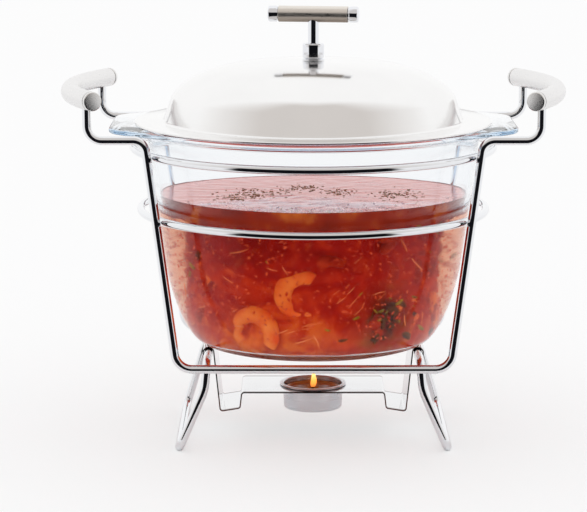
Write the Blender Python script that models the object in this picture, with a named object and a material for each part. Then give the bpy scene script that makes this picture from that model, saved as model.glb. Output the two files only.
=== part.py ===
"""Soup tureen on a wire stand, in metres, standing on Z = 0, with its front facing -Y."""
import math

import bmesh
import bpy
from mathutils import Matrix, Vector

# Gap between pieces that touch or are welded in the real object
GAP = 0.0003
MERGE_DISTANCE = 0.000001

# Wire frames, front and rear
ROD_RADIUS = 0.0027
FRAME_DEPTH = 0.0626
BAR_HEIGHT = 0.0546
BAR_HALF_WIDTH = 0.0855
SHELF_HEIGHT = 0.1985
SHOULDER_HALF_WIDTH = 0.1042
RISER_HALF_WIDTH = 0.1395
RISER_TOP = 0.2260
BAR_BEND = 0.0110
SHOULDER_BEND = 0.0080
RISER_BEND = 0.0090

# Rings welded inside the frames
RING_ROD_RADIUS = 0.0025
UPPER_RING_HEIGHT = 0.1874
LOWER_RING_HEIGHT = 0.1472

# Leg loops
LEG_TOP_HEIGHT = 0.0565
LEG_TOP_HALF_WIDTH = 0.0670
LEG_KNEE_HEIGHT = 0.0400
LEG_FRONT_KNEE_HALF_WIDTH = 0.0685
LEG_REAR_KNEE_HALF_WIDTH = 0.0735
LEG_FOOT_HALF_WIDTH = 0.0848
LEG_FOOT_DEPTH = 0.0580
LEG_FOOT_HEIGHT = 0.0019
LEG_TOP_BEND = 0.0060
LEG_KNEE_BEND = 0.0300
LEG_FOOT_BEND = 0.0070

# Burner strip
STRIP_THICKNESS = 0.0008
STRIP_HALF_DEPTH = 0.0235
STRIP_BEND = 0.0018
PLATE_HEIGHT = 0.0302
PLATE_HALF_WIDTH = 0.0458
TROUGH_INNER_HALF_WIDTH = 0.0470
TROUGH_INNER_HEIGHT = 0.0200
TROUGH_OUTER_HALF_WIDTH = 0.0596
TROUGH_OUTER_HEIGHT = 0.0180
BURNER_HOLE_RADIUS = 0.0200

# Grips
GRIP_RADIUS = 0.0060
GRIP_BORE = 0.0049
GRIP_HEIGHT = 0.2235
GRIP_MIDDLE_HALF_WIDTH = 0.1542
GRIP_TUBE_DEPTH = 0.0690
GRIP_CAP_THICKNESS = 0.0028
GRIP_CAP_ROUNDING = 0.0010
GRIP_CAP_PLUG = 0.0040

# Glass bowl
BOWL_BASE_HEIGHT = 0.0615
BOWL_SHOULDER_HEIGHT = 0.1150
BOWL_SHOULDER_RADIUS = 0.0955
BOWL_CORNER_WIDTH = 0.0175
BOWL_WALL = 0.0036
BOWL_FLOOR = 0.0050
BOWL_RIM_BOTTOM = 0.1993
BOWL_RIM_TOP = 0.2024
BOWL_RIM_RADIUS = 0.1140
BOWL_RIM_ROUNDING = 0.0008
BOWL_RIM_FILLET = 0.0030
LUG_STAND_OUT = 0.0147
LUG_CORNER_RADIUS = 0.0140
LUG_CORNER_DEPTH = 0.0368

# Lid
LID_SHEET = 0.0012
LID_BAND_BOTTOM_RADIUS = 0.0959
LID_BAND_TOP_RADIUS = 0.0910
LID_BAND_TOP_HEIGHT = 0.2165
LID_TOP_HEIGHT = 0.2416
LID_LIP_RADIUS = 0.1000
LID_LIP_DEPTH = 0.0035
LID_HOLE_RADIUS = 0.0025
LID_FILLET = 0.0020

# Knob on the lid
WASHER_RADIUS = 0.0072
WASHER_THICKNESS = 0.0009
COLLAR_RADIUS = 0.0068
COLLAR_TOP_ABOVE_LID = 0.0110
COLLAR_ROUNDING = 0.0010
COLLAR_DISH = 0.0012
POST_RADIUS = 0.0034
STUD_RADIUS = 0.0022
STUD_BELOW_LID_TOP = 0.0081
NUT_RADIUS = 0.0048
NUT_THICKNESS = 0.0040
CROSSBAR_ABOVE_LID = 0.0294
CROSSBAR_RADIUS = 0.0051
CROSSBAR_HALF_LENGTH = 0.0289
CROSSBAR_CAP_LENGTH = 0.0064
CROSSBAR_CAP_ROUNDING = 0.0012
CROSSBAR_CAP_GROOVE = 0.0006
CORE_RADIUS = 0.0030
CORE_INSET = 0.0020

# Tea light
CUP_TOP_RADIUS = 0.0194
CUP_BOTTOM_RADIUS = 0.0188
CUP_BOTTOM_HEIGHT = 0.0159
CUP_SHEET = 0.0005
CUP_EDGE_RADIUS = 0.0216
WAX_TOP = 0.0255
HOLDER_DISC_RADIUS = 0.0060
HOLDER_TUBE_RADIUS = 0.0017
HOLDER_TUBE_HEIGHT = 0.0045
WICK_RADIUS = 0.0008
WICK_TOP = 0.0292

# Plain numbers: angles, counts and shares
CROSSBAR_TURN = math.radians(-9.0)
HOOK_END_ANGLE = math.radians(-25.0)
ROD_ROUNDNESS = 4
GRIP_ROUNDNESS = 6
WICK_STEPS = 12
SMALL_STEPS = 20
CUP_STEPS = 36
RING_STEPS = 48
LID_STEPS = 48
BEND_STEPS = 5
EDGE_STEPS = 2
HOOK_STEPS = 9
GRIP_STEPS = 10
BOWL_CURVE_STEPS = 7
DOME_CURVE_STEPS = 8
BOWL_CORNER_POWER = 1.85
BOWL_LEAN = 0.135
DOME_INNER_POWER = 3.15
DOME_OUTER_POWER = 1.566
DOME_END_SHARE = 0.943
LUG_COARSE_DEGREES = 6.0
LUG_FINE_DEGREES = 2.5
LUG_FINE_FROM = 12.0
LUG_FINE_TO = 27.0
SHARP_ANGLE = math.radians(35.0)

COLOURS = {
    "bright_wire": ((0.80, 0.81, 0.82), 1.0, 0.12),
    "bright_strip": ((0.78, 0.78, 0.79), 1.0, 0.16),
    "satin_grip": ((0.74, 0.74, 0.73), 1.0, 0.38),
    "bowl_glass": ((0.92, 0.96, 0.97), 0.0, 0.03),
    "lid_steel": ((0.82, 0.82, 0.83), 1.0, 0.10),
    "knob_steel": ((0.80, 0.80, 0.81), 1.0, 0.12),
    "sleeve_satin": ((0.70, 0.67, 0.62), 1.0, 0.40),
    "cup_foil": ((0.77, 0.78, 0.79), 1.0, 0.28),
    "candle_wax": ((0.86, 0.52, 0.28), 0.0, 0.45),
    "wick_cotton": ((0.10, 0.08, 0.07), 0.0, 0.90),
}


def material(name):
    """Principled material of one kind, with a copy of its own for each piece."""
    colour, metallic, roughness = COLOURS[name]
    made = bpy.data.materials.new(name)
    made.use_nodes = True
    shader = made.node_tree.nodes["Principled BSDF"]
    shader.inputs["Base Color"].default_value = (*colour, 1.0)
    shader.inputs["Metallic"].default_value = metallic
    shader.inputs["Roughness"].default_value = roughness
    return made


def shade(mesh):
    """Smooth shading but for the sharp edges."""
    for polygon in mesh.polygons:
        polygon.use_smooth = True
    mesh.set_sharp_from_angle(angle=SHARP_ANGLE)


def add_mesh(name, kind, shell):
    """Object from a bmesh, with outward faces and a material of its own."""
    bmesh.ops.recalc_face_normals(shell, faces=shell.faces)
    if shell.calc_volume(signed=True) < 0.0:
        bmesh.ops.reverse_faces(shell, faces=shell.faces)
    mesh = bpy.data.meshes.new(name)
    shell.to_mesh(mesh)
    shell.free()
    shade(mesh)
    mesh.materials.append(material(kind))
    made = bpy.data.objects.new(name, mesh)
    bpy.context.collection.objects.link(made)
    return made


def circle(radius, steps):
    """Points of a round outline in the plane."""
    step = math.tau / steps
    return [(radius * math.cos(step * k), radius * math.sin(step * k)) for k in range(steps)]


def rounded_path(corners, bends, closed=False):
    """Path through straight runs with an arc of the given radius at each inner corner."""
    count = len(corners)
    path = []
    for index, corner in enumerate(corners):
        here = Vector(corner)
        bend = bends[index]
        is_end = not closed and index in (0, count - 1)
        if is_end or bend == 0.0:
            path.append(here)
            continue
        back = (Vector(corners[index - 1]) - here).normalized()
        ahead = (Vector(corners[(index + 1) % count]) - here).normalized()
        half = back.angle(ahead) / 2
        centre = here + (back + ahead).normalized() * (bend / math.sin(half))
        reach = bend / math.tan(half)
        first = here + back * reach - centre
        last = here + ahead * reach - centre
        sweep = first.angle(last)
        for step in range(BEND_STEPS + 1):
            share = step / BEND_STEPS
            offset = (first * math.sin((1 - share) * sweep) + last * math.sin(share * sweep)) / math.sin(sweep)
            path.append(centre + offset)
    return path


def rod(name, kind, path, radius, closed=False, roundness=ROD_ROUNDNESS):
    """Round rod along a path: a curve with a round bevel and filled caps, turned into a mesh."""
    curve = bpy.data.curves.new(name, "CURVE")
    curve.dimensions = "3D"
    curve.bevel_depth = radius
    curve.bevel_resolution = roundness
    curve.use_fill_caps = True
    spline = curve.splines.new("POLY")
    spline.points.add(len(path) - 1)
    for point, place in zip(spline.points, path):
        point.co = (*place, 1.0)
    spline.use_cyclic_u = closed
    guide = bpy.data.objects.new("guide", curve)
    bpy.context.collection.objects.link(guide)
    depsgraph = bpy.context.evaluated_depsgraph_get()
    mesh = bpy.data.meshes.new_from_object(guide.evaluated_get(depsgraph))
    bpy.data.objects.remove(guide)
    shell = bmesh.new()
    shell.from_mesh(mesh)
    bmesh.ops.remove_doubles(shell, verts=shell.verts, dist=MERGE_DISTANCE)
    return add_mesh(name, kind, shell)


def turned(name, kind, profile, steps=SMALL_STEPS, placed=Matrix()):
    """Closed body of revolution about Z, spun from a closed outline of (radius, height) points."""
    shell = bmesh.new()
    corners = [shell.verts.new((radius, 0, height)) for radius, height in profile]
    sides = list(zip(corners, corners[1:] + corners[:1]))
    edges = [shell.edges.new(side) for side in sides if side[0].co.x > 0.0 or side[1].co.x > 0.0]
    bmesh.ops.spin(shell, geom=corners + edges, cent=(0, 0, 0), axis=(0, 0, 1), angle=math.tau, steps=steps)
    bmesh.ops.remove_doubles(shell, verts=shell.verts, dist=MERGE_DISTANCE)
    shell.transform(placed)
    return add_mesh(name, kind, shell)


def cut(body, cutter):
    """Take a cutter out of a body and delete the cutter."""
    modifier = body.modifiers.new("cut", "BOOLEAN")
    modifier.operation = "DIFFERENCE"
    modifier.solver = "EXACT"
    modifier.object = cutter
    depsgraph = bpy.context.evaluated_depsgraph_get()
    mesh = bpy.data.meshes.new_from_object(body.evaluated_get(depsgraph))
    body.modifiers.clear()
    body.data = mesh
    bpy.data.objects.remove(cutter)
    shade(mesh)


def cylinder_cutter(radius, bottom, top, steps=SMALL_STEPS, placed=Matrix()):
    """Plain cylinder along Z, used only to cut."""
    profile = [(0.0, bottom), (radius, bottom), (radius, top), (0.0, top)]
    return turned("cutter", "wick_cotton", profile, steps=steps, placed=placed)


def frame_half_width(height):
    """Half distance between the two sides of a wire frame at a height."""
    share = (height - BAR_HEIGHT) / (SHELF_HEIGHT - BAR_HEIGHT)
    return BAR_HALF_WIDTH + (SHOULDER_HALF_WIDTH - BAR_HALF_WIDTH) * share


def wire_frame(name, depth):
    """One bent rod: riser, shelf, side, bottom bar and back up to the other riser."""
    right = [
        (RISER_HALF_WIDTH, RISER_TOP, 0.0),
        (RISER_HALF_WIDTH, SHELF_HEIGHT, RISER_BEND),
        (SHOULDER_HALF_WIDTH, SHELF_HEIGHT, SHOULDER_BEND),
        (BAR_HALF_WIDTH, BAR_HEIGHT, BAR_BEND),
    ]
    both = right + [(-x, z, bend) for x, z, bend in reversed(right)]
    corners = [(x, depth, z) for x, z, bend in both]
    bends = [bend for x, z, bend in both]
    rod(name, "bright_wire", rounded_path(corners, bends), ROD_RADIUS)


def support_ring(name, height):
    """Ring that lies against the inner side of both wire frames."""
    reach = math.hypot(frame_half_width(height), FRAME_DEPTH)
    radius = reach - ROD_RADIUS - RING_ROD_RADIUS - GAP
    path = [Vector((x, y, height)) for x, y in circle(radius, RING_STEPS)]
    rod(name, "bright_wire", path, RING_ROD_RADIUS, closed=True)


def leg_loop(name, side):
    """Closed loop: bar across the top, rear arm, foot bar and front arm, with a flat under the foot."""
    top_depth = FRAME_DEPTH - 2 * ROD_RADIUS - GAP
    knee_share = (LEG_TOP_HEIGHT - LEG_KNEE_HEIGHT) / (LEG_TOP_HEIGHT - LEG_FOOT_HEIGHT)
    knee_depth = top_depth + (LEG_FOOT_DEPTH - top_depth) * knee_share
    corners = [
        (side * LEG_TOP_HALF_WIDTH, -top_depth, LEG_TOP_HEIGHT),
        (side * LEG_TOP_HALF_WIDTH, top_depth, LEG_TOP_HEIGHT),
        (side * LEG_REAR_KNEE_HALF_WIDTH, knee_depth, LEG_KNEE_HEIGHT),
        (side * LEG_FOOT_HALF_WIDTH, LEG_FOOT_DEPTH, LEG_FOOT_HEIGHT),
        (side * LEG_FOOT_HALF_WIDTH, -LEG_FOOT_DEPTH, LEG_FOOT_HEIGHT),
        (side * LEG_FRONT_KNEE_HALF_WIDTH, -knee_depth, LEG_KNEE_HEIGHT),
    ]
    bends = [LEG_TOP_BEND, LEG_TOP_BEND, LEG_KNEE_BEND, LEG_FOOT_BEND, LEG_FOOT_BEND, LEG_KNEE_BEND]
    loop = rod(name, "bright_wire", rounded_path(corners, bends, closed=True), ROD_RADIUS, closed=True)
    for vertex in loop.data.vertices:
        vertex.co.z = max(vertex.co.z, 0.0)


def burner_strip():
    """Strip hooked over both leg loops, with a raised plate and a round hole for the tea light."""
    hook_radius = ROD_RADIUS + GAP + STRIP_THICKNESS / 2
    hook_side = LEG_TOP_HALF_WIDTH - hook_radius
    corners = [
        (0.0, 0.0, PLATE_HEIGHT),
        (PLATE_HALF_WIDTH, 0.0, PLATE_HEIGHT),
        (TROUGH_INNER_HALF_WIDTH, 0.0, TROUGH_INNER_HEIGHT),
        (TROUGH_OUTER_HALF_WIDTH, 0.0, TROUGH_OUTER_HEIGHT),
        (hook_side, 0.0, LEG_TOP_HEIGHT),
    ]
    half = rounded_path(corners, [0.0, STRIP_BEND, STRIP_BEND, STRIP_BEND, 0.0])
    for step in range(1, HOOK_STEPS + 1):
        angle = math.pi + (HOOK_END_ANGLE - math.pi) * step / HOOK_STEPS
        x = LEG_TOP_HALF_WIDTH + hook_radius * math.cos(angle)
        half.append(Vector((x, 0.0, LEG_TOP_HEIGHT + hook_radius * math.sin(angle))))
    line = [Vector((-point.x, 0.0, point.z)) for point in half[:0:-1]] + half
    shell = bmesh.new()
    points = [shell.verts.new((point.x, -STRIP_HALF_DEPTH, point.z)) for point in line]
    edges = [shell.edges.new(pair) for pair in zip(points, points[1:])]
    made = bmesh.ops.extrude_edge_only(shell, edges=edges)
    moved = [item for item in made["geom"] if isinstance(item, bmesh.types.BMVert)]
    bmesh.ops.translate(shell, verts=moved, vec=(0, 2 * STRIP_HALF_DEPTH, 0))
    strip = add_mesh("burner_strip", "bright_strip", shell)
    sheet = strip.modifiers.new("sheet", "SOLIDIFY")
    sheet.thickness = STRIP_THICKNESS
    sheet.offset = 0.0
    sheet.use_even_offset = True
    drop = PLATE_HEIGHT - TROUGH_INNER_HEIGHT
    cut(strip, cylinder_cutter(BURNER_HOLE_RADIUS, PLATE_HEIGHT - drop, PLATE_HEIGHT + drop, steps=CUP_STEPS))


def grip_bend_radius():
    """Radius of the arc through both risers and the outermost point of the grip."""
    bow = GRIP_MIDDLE_HALF_WIDTH - RISER_HALF_WIDTH
    return (FRAME_DEPTH ** 2 + bow ** 2) / (2 * bow)


def grip_end(side, end):
    """Centre of a tube end and the direction that the tube points there."""
    radius = grip_bend_radius()
    angle = math.asin(GRIP_TUBE_DEPTH / radius)
    centre = GRIP_MIDDLE_HALF_WIDTH - radius
    place = Vector((side * (centre + radius * math.cos(angle)), end * GRIP_TUBE_DEPTH, GRIP_HEIGHT))
    heading = Vector((-side * math.sin(angle), end * math.cos(angle), 0))
    return place, heading


def grip_tube(name, side):
    """Curved tube with a hole from below for each riser."""
    radius = grip_bend_radius()
    centre = GRIP_MIDDLE_HALF_WIDTH - radius
    widest = math.asin(GRIP_TUBE_DEPTH / radius)
    path = []
    for step in range(GRIP_STEPS + 1):
        angle = -widest + 2 * widest * step / GRIP_STEPS
        path.append(Vector((side * (centre + radius * math.cos(angle)), radius * math.sin(angle), GRIP_HEIGHT)))
    made = rod(name, "satin_grip", path, GRIP_RADIUS, roundness=GRIP_ROUNDNESS)
    longer = [path[0] * 2 - path[1], *path, path[-1] * 2 - path[-2]]
    cut(made, rod("cutter", "satin_grip", longer, GRIP_BORE, roundness=GRIP_ROUNDNESS))
    for depth in (-FRAME_DEPTH, FRAME_DEPTH):
        placed = Matrix.Translation((side * RISER_HALF_WIDTH, depth, 0))
        below = GRIP_HEIGHT - 2 * GRIP_RADIUS
        cut(made, cylinder_cutter(ROD_RADIUS + GAP, below, GRIP_HEIGHT, placed=placed))


def grip_cap(name, side, end):
    """Disc with rounded edge and a plug that sits in the tube."""
    place, heading = grip_end(side, end)
    turn = heading.to_track_quat("Z", "Y").to_matrix().to_4x4()
    plug = GRIP_BORE - GAP
    edge = GRIP_CAP_ROUNDING
    top = GAP + GRIP_CAP_THICKNESS
    profile = [
        (0.0, -GRIP_CAP_PLUG),
        (plug, -GRIP_CAP_PLUG),
        (plug, GAP),
        (GRIP_RADIUS, GAP),
        *rounded_edge(GRIP_RADIUS, top, edge),
        (0.0, top),
    ]
    turned(name, "satin_grip", profile, placed=Matrix.Translation(place) @ turn)


def rounded_edge(radius, top, edge):
    """Quarter arc from the outer side up to the top of a turned profile."""
    arc = []
    for step in range(EDGE_STEPS + 1):
        angle = math.pi / 2 * step / EDGE_STEPS
        arc.append((radius - edge + edge * math.cos(angle), top - edge + edge * math.sin(angle)))
    return arc


def bowl_wall(inset, floor_height):
    """Outer or inner side of the bowl from its flat bottom up to the shoulder, as (radius, height) points."""
    corner_height = BOWL_SHOULDER_HEIGHT - floor_height
    points = []
    for step in range(BOWL_CURVE_STEPS + 1):
        angle = math.pi / 2 * step / BOWL_CURVE_STEPS
        out_share = math.sin(angle) ** (2 / BOWL_CORNER_POWER)
        down_share = math.cos(angle) ** (2 / BOWL_CORNER_POWER)
        height = BOWL_SHOULDER_HEIGHT - corner_height * down_share
        flat = BOWL_SHOULDER_RADIUS - BOWL_CORNER_WIDTH
        radius = flat + BOWL_CORNER_WIDTH * out_share + BOWL_LEAN * (height - BOWL_SHOULDER_HEIGHT) - inset
        points.append((radius, height))
    return points


def wall_radius(height):
    """Outer radius of the straight upper wall of the bowl."""
    return BOWL_SHOULDER_RADIUS + BOWL_LEAN * (height - BOWL_SHOULDER_HEIGHT)


def rim_reach(angle):
    """Distance from the axis to the outer edge of the rim or its lugs in a direction."""
    across = abs(math.cos(angle))
    along = abs(math.sin(angle))
    lug_reach = BOWL_RIM_RADIUS + LUG_STAND_OUT
    corner = Vector((lug_reach - LUG_CORNER_RADIUS, LUG_CORNER_DEPTH))
    tangent = math.atan2(corner.y, corner.x) + math.acos((BOWL_RIM_RADIUS - LUG_CORNER_RADIUS) / corner.length)
    bearing = math.atan2(along, across)
    if bearing >= tangent:
        return BOWL_RIM_RADIUS
    reach = BOWL_RIM_RADIUS / math.cos(bearing - tangent)
    if across > 0.0:
        reach = min(reach, lug_reach / across)
    offset = Vector((reach * across, reach * along)) - corner
    if 0.0 < math.atan2(offset.y, offset.x) < tangent:
        middle = corner.x * across + corner.y * along
        reach = middle + math.sqrt(middle ** 2 - corner.length_squared + LUG_CORNER_RADIUS ** 2)
    return reach


def lug_bearings():
    """Directions for the bowl mesh, closer together where the lug corners turn."""
    quarter = []
    degrees = 0.0
    while degrees < 90.0:
        quarter.append(degrees)
        fine = LUG_FINE_FROM <= degrees < LUG_FINE_TO
        degrees += LUG_FINE_DEGREES if fine else LUG_COARSE_DEGREES
    half = quarter + [90.0] + [180.0 - value for value in reversed(quarter[1:])]
    return [math.radians(value) for value in half + [180.0 + value for value in half]]


def glass_bowl():
    """Bowl, rim and lugs in one piece of glass, as rings of points at shared bearings."""
    inner_floor = BOWL_BASE_HEIGHT + BOWL_FLOOR
    edge = BOWL_RIM_ROUNDING
    fillet = BOWL_RIM_FILLET
    inner = bowl_wall(BOWL_WALL, inner_floor)
    outer = bowl_wall(0.0, BOWL_BASE_HEIGHT)
    under = BOWL_RIM_BOTTOM
    mouth = wall_radius(BOWL_RIM_TOP) - BOWL_WALL
    # Rings of (radius, height), where a radius may be a function of the bearing
    rings = [(0.0, inner_floor)] + inner
    rings.append((wall_radius(BOWL_RIM_TOP - 2 * edge) - BOWL_WALL, BOWL_RIM_TOP - 2 * edge))
    rings.append((mouth + edge / 2, BOWL_RIM_TOP - edge / 2))
    rings.append((mouth + 2 * edge, BOWL_RIM_TOP))
    for shift, height in ((-edge, BOWL_RIM_TOP), (0.0, BOWL_RIM_TOP - edge), (0.0, under + edge), (-edge, under)):
        rings.append((lambda bearing, shift=shift: rim_reach(bearing) + shift, height))
    for step in range(EDGE_STEPS + 1):
        angle = math.pi / 2 * step / EDGE_STEPS
        height = under - fillet * (1 - math.cos(angle))
        rings.append((wall_radius(height) + fillet * (1 - math.sin(angle)), height))
    rings += outer[::-1]
    rings.append((0.0, BOWL_BASE_HEIGHT))
    bearings = lug_bearings()
    count = len(bearings)
    shell = bmesh.new()
    loops = []
    for radius, height in rings:
        if radius == 0.0:
            loops.append([shell.verts.new((0, 0, height))] * count)
            continue
        reaches = [radius(bearing) if callable(radius) else radius for bearing in bearings]
        places = [(reach * math.cos(b), reach * math.sin(b), height) for reach, b in zip(reaches, bearings)]
        loops.append([shell.verts.new(place) for place in places])
    for here, there in zip(loops, loops[1:]):
        for k in range(count):
            following = (k + 1) % count
            corners = [here[k], here[following], there[following], there[k]]
            shell.faces.new(dict.fromkeys(corners))
    add_mesh("glass_bowl", "bowl_glass", shell)


def dome(inset):
    """Dome from the knob hole out to where it is as steep as the band, as (radius, height) points."""
    rise = LID_TOP_HEIGHT - LID_BAND_TOP_HEIGHT
    reach = LID_BAND_TOP_RADIUS - inset
    points = []
    for step in range(DOME_CURVE_STEPS + 1):
        out_share = math.sin(math.pi / 2 * DOME_END_SHARE * step / DOME_CURVE_STEPS)
        up_share = (1 - out_share ** DOME_INNER_POWER) ** (1 / DOME_OUTER_POWER)
        radius = max(reach * out_share, LID_HOLE_RADIUS)
        points.append((radius, LID_BAND_TOP_HEIGHT + rise * up_share - inset))
    return points


def band_foot(dome_edge, corner, fillet):
    """Arc where the band turns out into the flat flange, as (radius, height) points."""
    corners = [(*dome_edge, 0.0), (*corner, 0.0), (BOWL_RIM_RADIUS, corner[1], 0.0)]
    return [(point.x, point.y) for point in rounded_path(corners, [0.0, fillet, 0.0])[1:-1]]


def lid_shell():
    """Dome, straight band, flat flange on the glass rim and a lip inside the mouth of the bowl."""
    flange_bottom = BOWL_RIM_TOP + GAP
    flange_top = flange_bottom + LID_SHEET
    lip_bottom = flange_bottom - LID_LIP_DEPTH
    edge = LID_SHEET / 2
    outside = dome(0.0)
    inside = dome(LID_SHEET)
    profile = outside + band_foot(outside[-1], (LID_BAND_BOTTOM_RADIUS, flange_top), LID_FILLET)
    profile.append((BOWL_RIM_RADIUS - edge, flange_top))
    profile.append((BOWL_RIM_RADIUS, flange_top - edge))
    profile.append((BOWL_RIM_RADIUS - edge, flange_bottom))
    profile.append((LID_LIP_RADIUS, flange_bottom))
    profile.append((LID_LIP_RADIUS - edge, lip_bottom))
    profile.append((LID_LIP_RADIUS - LID_SHEET, lip_bottom))
    profile.append((LID_LIP_RADIUS - LID_SHEET, flange_bottom))
    foot = band_foot(inside[-1], (LID_BAND_BOTTOM_RADIUS - LID_SHEET, flange_bottom), LID_FILLET + LID_SHEET)
    profile += foot[::-1] + inside[::-1]
    turned("lid_shell", "lid_steel", profile, steps=LID_STEPS)


def knob():
    """Washer, collar, post with stud and nut on the axis of the lid."""
    bore = STUD_RADIUS + GAP
    washer_bottom = LID_TOP_HEIGHT + GAP
    washer_top = washer_bottom + WASHER_THICKNESS
    washer = [(bore, washer_bottom), (WASHER_RADIUS, washer_bottom)]
    washer += [(WASHER_RADIUS, washer_top), (bore, washer_top)]
    turned("knob_washer", "knob_steel", washer)
    collar_bottom = washer_top + GAP
    collar_top = LID_TOP_HEIGHT + COLLAR_TOP_ABOVE_LID
    collar = [(bore, collar_bottom), (COLLAR_RADIUS - COLLAR_ROUNDING, collar_bottom)]
    collar += [(COLLAR_RADIUS, collar_bottom + COLLAR_ROUNDING)]
    collar += rounded_edge(COLLAR_RADIUS, collar_top, COLLAR_ROUNDING)
    collar += [(POST_RADIUS + GAP, collar_top - COLLAR_DISH), (bore, collar_top - COLLAR_DISH)]
    turned("knob_collar", "knob_steel", collar)
    post_bottom = collar_top - COLLAR_DISH + GAP
    post_top = LID_TOP_HEIGHT + CROSSBAR_ABOVE_LID - CORE_RADIUS - GAP
    stud_bottom = LID_TOP_HEIGHT - STUD_BELOW_LID_TOP
    post = [(0.0, stud_bottom), (STUD_RADIUS, stud_bottom), (STUD_RADIUS, post_bottom)]
    post += [(POST_RADIUS, post_bottom), (POST_RADIUS, post_top), (0.0, post_top)]
    turned("knob_post", "knob_steel", post)
    nut_top = LID_TOP_HEIGHT - LID_SHEET - GAP
    nut_bottom = nut_top - NUT_THICKNESS
    nut = [(bore, nut_bottom), (NUT_RADIUS, nut_bottom), (NUT_RADIUS, nut_top), (bore, nut_top)]
    turned("knob_nut", "knob_steel", nut)


def crossbar():
    """Core rod, satin sleeve and two bright caps, turned a little about the axis of the lid."""
    lie_down = Matrix.Rotation(math.pi / 2, 4, "Y")
    height = LID_TOP_HEIGHT + CROSSBAR_ABOVE_LID
    placed = Matrix.Translation((0, 0, height)) @ Matrix.Rotation(CROSSBAR_TURN, 4, "Z") @ lie_down
    core_end = CROSSBAR_HALF_LENGTH - CORE_INSET
    core = [(0.0, -core_end), (CORE_RADIUS, -core_end), (CORE_RADIUS, core_end), (0.0, core_end)]
    turned("crossbar_core", "knob_steel", core, placed=placed)
    bore = CORE_RADIUS + GAP
    sleeve_end = CROSSBAR_HALF_LENGTH - CROSSBAR_CAP_LENGTH - GAP
    sleeve = [(bore, -sleeve_end), (CROSSBAR_RADIUS, -sleeve_end)]
    sleeve += [(CROSSBAR_RADIUS, sleeve_end), (bore, sleeve_end)]
    made = turned("crossbar_sleeve", "sleeve_satin", sleeve, placed=placed)
    cut(made, cylinder_cutter(POST_RADIUS + GAP, height - 2 * CROSSBAR_RADIUS, height))
    for name, half_turn in (("crossbar_right_cap", 0.0), ("crossbar_left_cap", math.pi)):
        start = CROSSBAR_HALF_LENGTH - CROSSBAR_CAP_LENGTH
        neck = CROSSBAR_RADIUS - CROSSBAR_CAP_GROOVE
        cap = [(bore, start), (neck, start), (neck, start + CROSSBAR_CAP_GROOVE)]
        cap += [(CROSSBAR_RADIUS, start + 2 * CROSSBAR_CAP_GROOVE)]
        cap += rounded_edge(CROSSBAR_RADIUS, CROSSBAR_HALF_LENGTH, CROSSBAR_CAP_ROUNDING)
        cap += [(0.0, CROSSBAR_HALF_LENGTH), (0.0, core_end + GAP), (bore, core_end + GAP)]
        turn = Matrix.Rotation(half_turn, 4, "Y")
        turned(name, "knob_steel", cap, placed=placed @ turn)


def tea_light():
    """Foil cup hanging by its rolled edge, wax, wick and the holder of the wick."""
    edge_bottom = PLATE_HEIGHT + STRIP_THICKNESS / 2 + GAP
    edge_top = edge_bottom + 2 * CUP_SHEET
    floor = CUP_BOTTOM_HEIGHT + CUP_SHEET
    cup = [
        (0.0, CUP_BOTTOM_HEIGHT),
        (CUP_BOTTOM_RADIUS, CUP_BOTTOM_HEIGHT),
        (CUP_TOP_RADIUS, edge_bottom),
        (CUP_EDGE_RADIUS - CUP_SHEET, edge_bottom),
        (CUP_EDGE_RADIUS, edge_bottom + CUP_SHEET),
        (CUP_EDGE_RADIUS - CUP_SHEET, edge_top),
        (CUP_TOP_RADIUS, edge_top),
        (CUP_TOP_RADIUS - CUP_SHEET, edge_bottom + CUP_SHEET),
        (CUP_BOTTOM_RADIUS - CUP_SHEET, floor),
        (0.0, floor),
    ]
    turned("tealight_cup", "cup_foil", cup, steps=CUP_STEPS)
    holder_bottom = floor + GAP
    disc_top = holder_bottom + CUP_SHEET
    wick_bore = WICK_RADIUS + GAP
    tube_top = disc_top + HOLDER_TUBE_HEIGHT
    wax = [
        (HOLDER_DISC_RADIUS + GAP, holder_bottom),
        (CUP_BOTTOM_RADIUS - CUP_SHEET - GAP, holder_bottom),
        (CUP_BOTTOM_RADIUS - CUP_SHEET - GAP, WAX_TOP),
        (wick_bore, WAX_TOP),
        (wick_bore, tube_top + GAP),
        (HOLDER_TUBE_RADIUS + GAP, tube_top + GAP),
        (HOLDER_TUBE_RADIUS + GAP, disc_top + GAP),
        (HOLDER_DISC_RADIUS + GAP, disc_top + GAP),
    ]
    turned("tealight_wax", "candle_wax", wax, steps=CUP_STEPS)
    holder = [
        (0.0, holder_bottom),
        (HOLDER_DISC_RADIUS, holder_bottom),
        (HOLDER_DISC_RADIUS, disc_top),
        (HOLDER_TUBE_RADIUS, disc_top),
        (HOLDER_TUBE_RADIUS, tube_top),
        (wick_bore, tube_top),
        (wick_bore, disc_top),
        (0.0, disc_top),
    ]
    turned("wick_holder", "cup_foil", holder)
    wick_bottom = disc_top + GAP
    wick = [(0.0, wick_bottom), (WICK_RADIUS, wick_bottom), (WICK_RADIUS, WICK_TOP), (0.0, WICK_TOP)]
    turned("tealight_wick", "wick_cotton", wick, steps=WICK_STEPS)


def build():
    """Clear the scene and make every piece."""
    for left_over in list(bpy.data.objects):
        bpy.data.objects.remove(left_over)
    wire_frame("front_wire_frame", -FRAME_DEPTH)
    wire_frame("rear_wire_frame", FRAME_DEPTH)
    support_ring("upper_ring", UPPER_RING_HEIGHT)
    support_ring("lower_ring", LOWER_RING_HEIGHT)
    burner_strip()
    for word, side in (("left", -1), ("right", 1)):
        leg_loop(word + "_leg_loop", side)
        grip_tube(word + "_grip_tube", side)
        grip_cap(word + "_grip_front_cap", side, -1)
        grip_cap(word + "_grip_rear_cap", side, 1)
    glass_bowl()
    lid_shell()
    knob()
    crossbar()
    tea_light()


build()
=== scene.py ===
"""Soup tureen on a wire stand: fine surfaces, looks, soup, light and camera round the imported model."""
import math
import random

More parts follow.
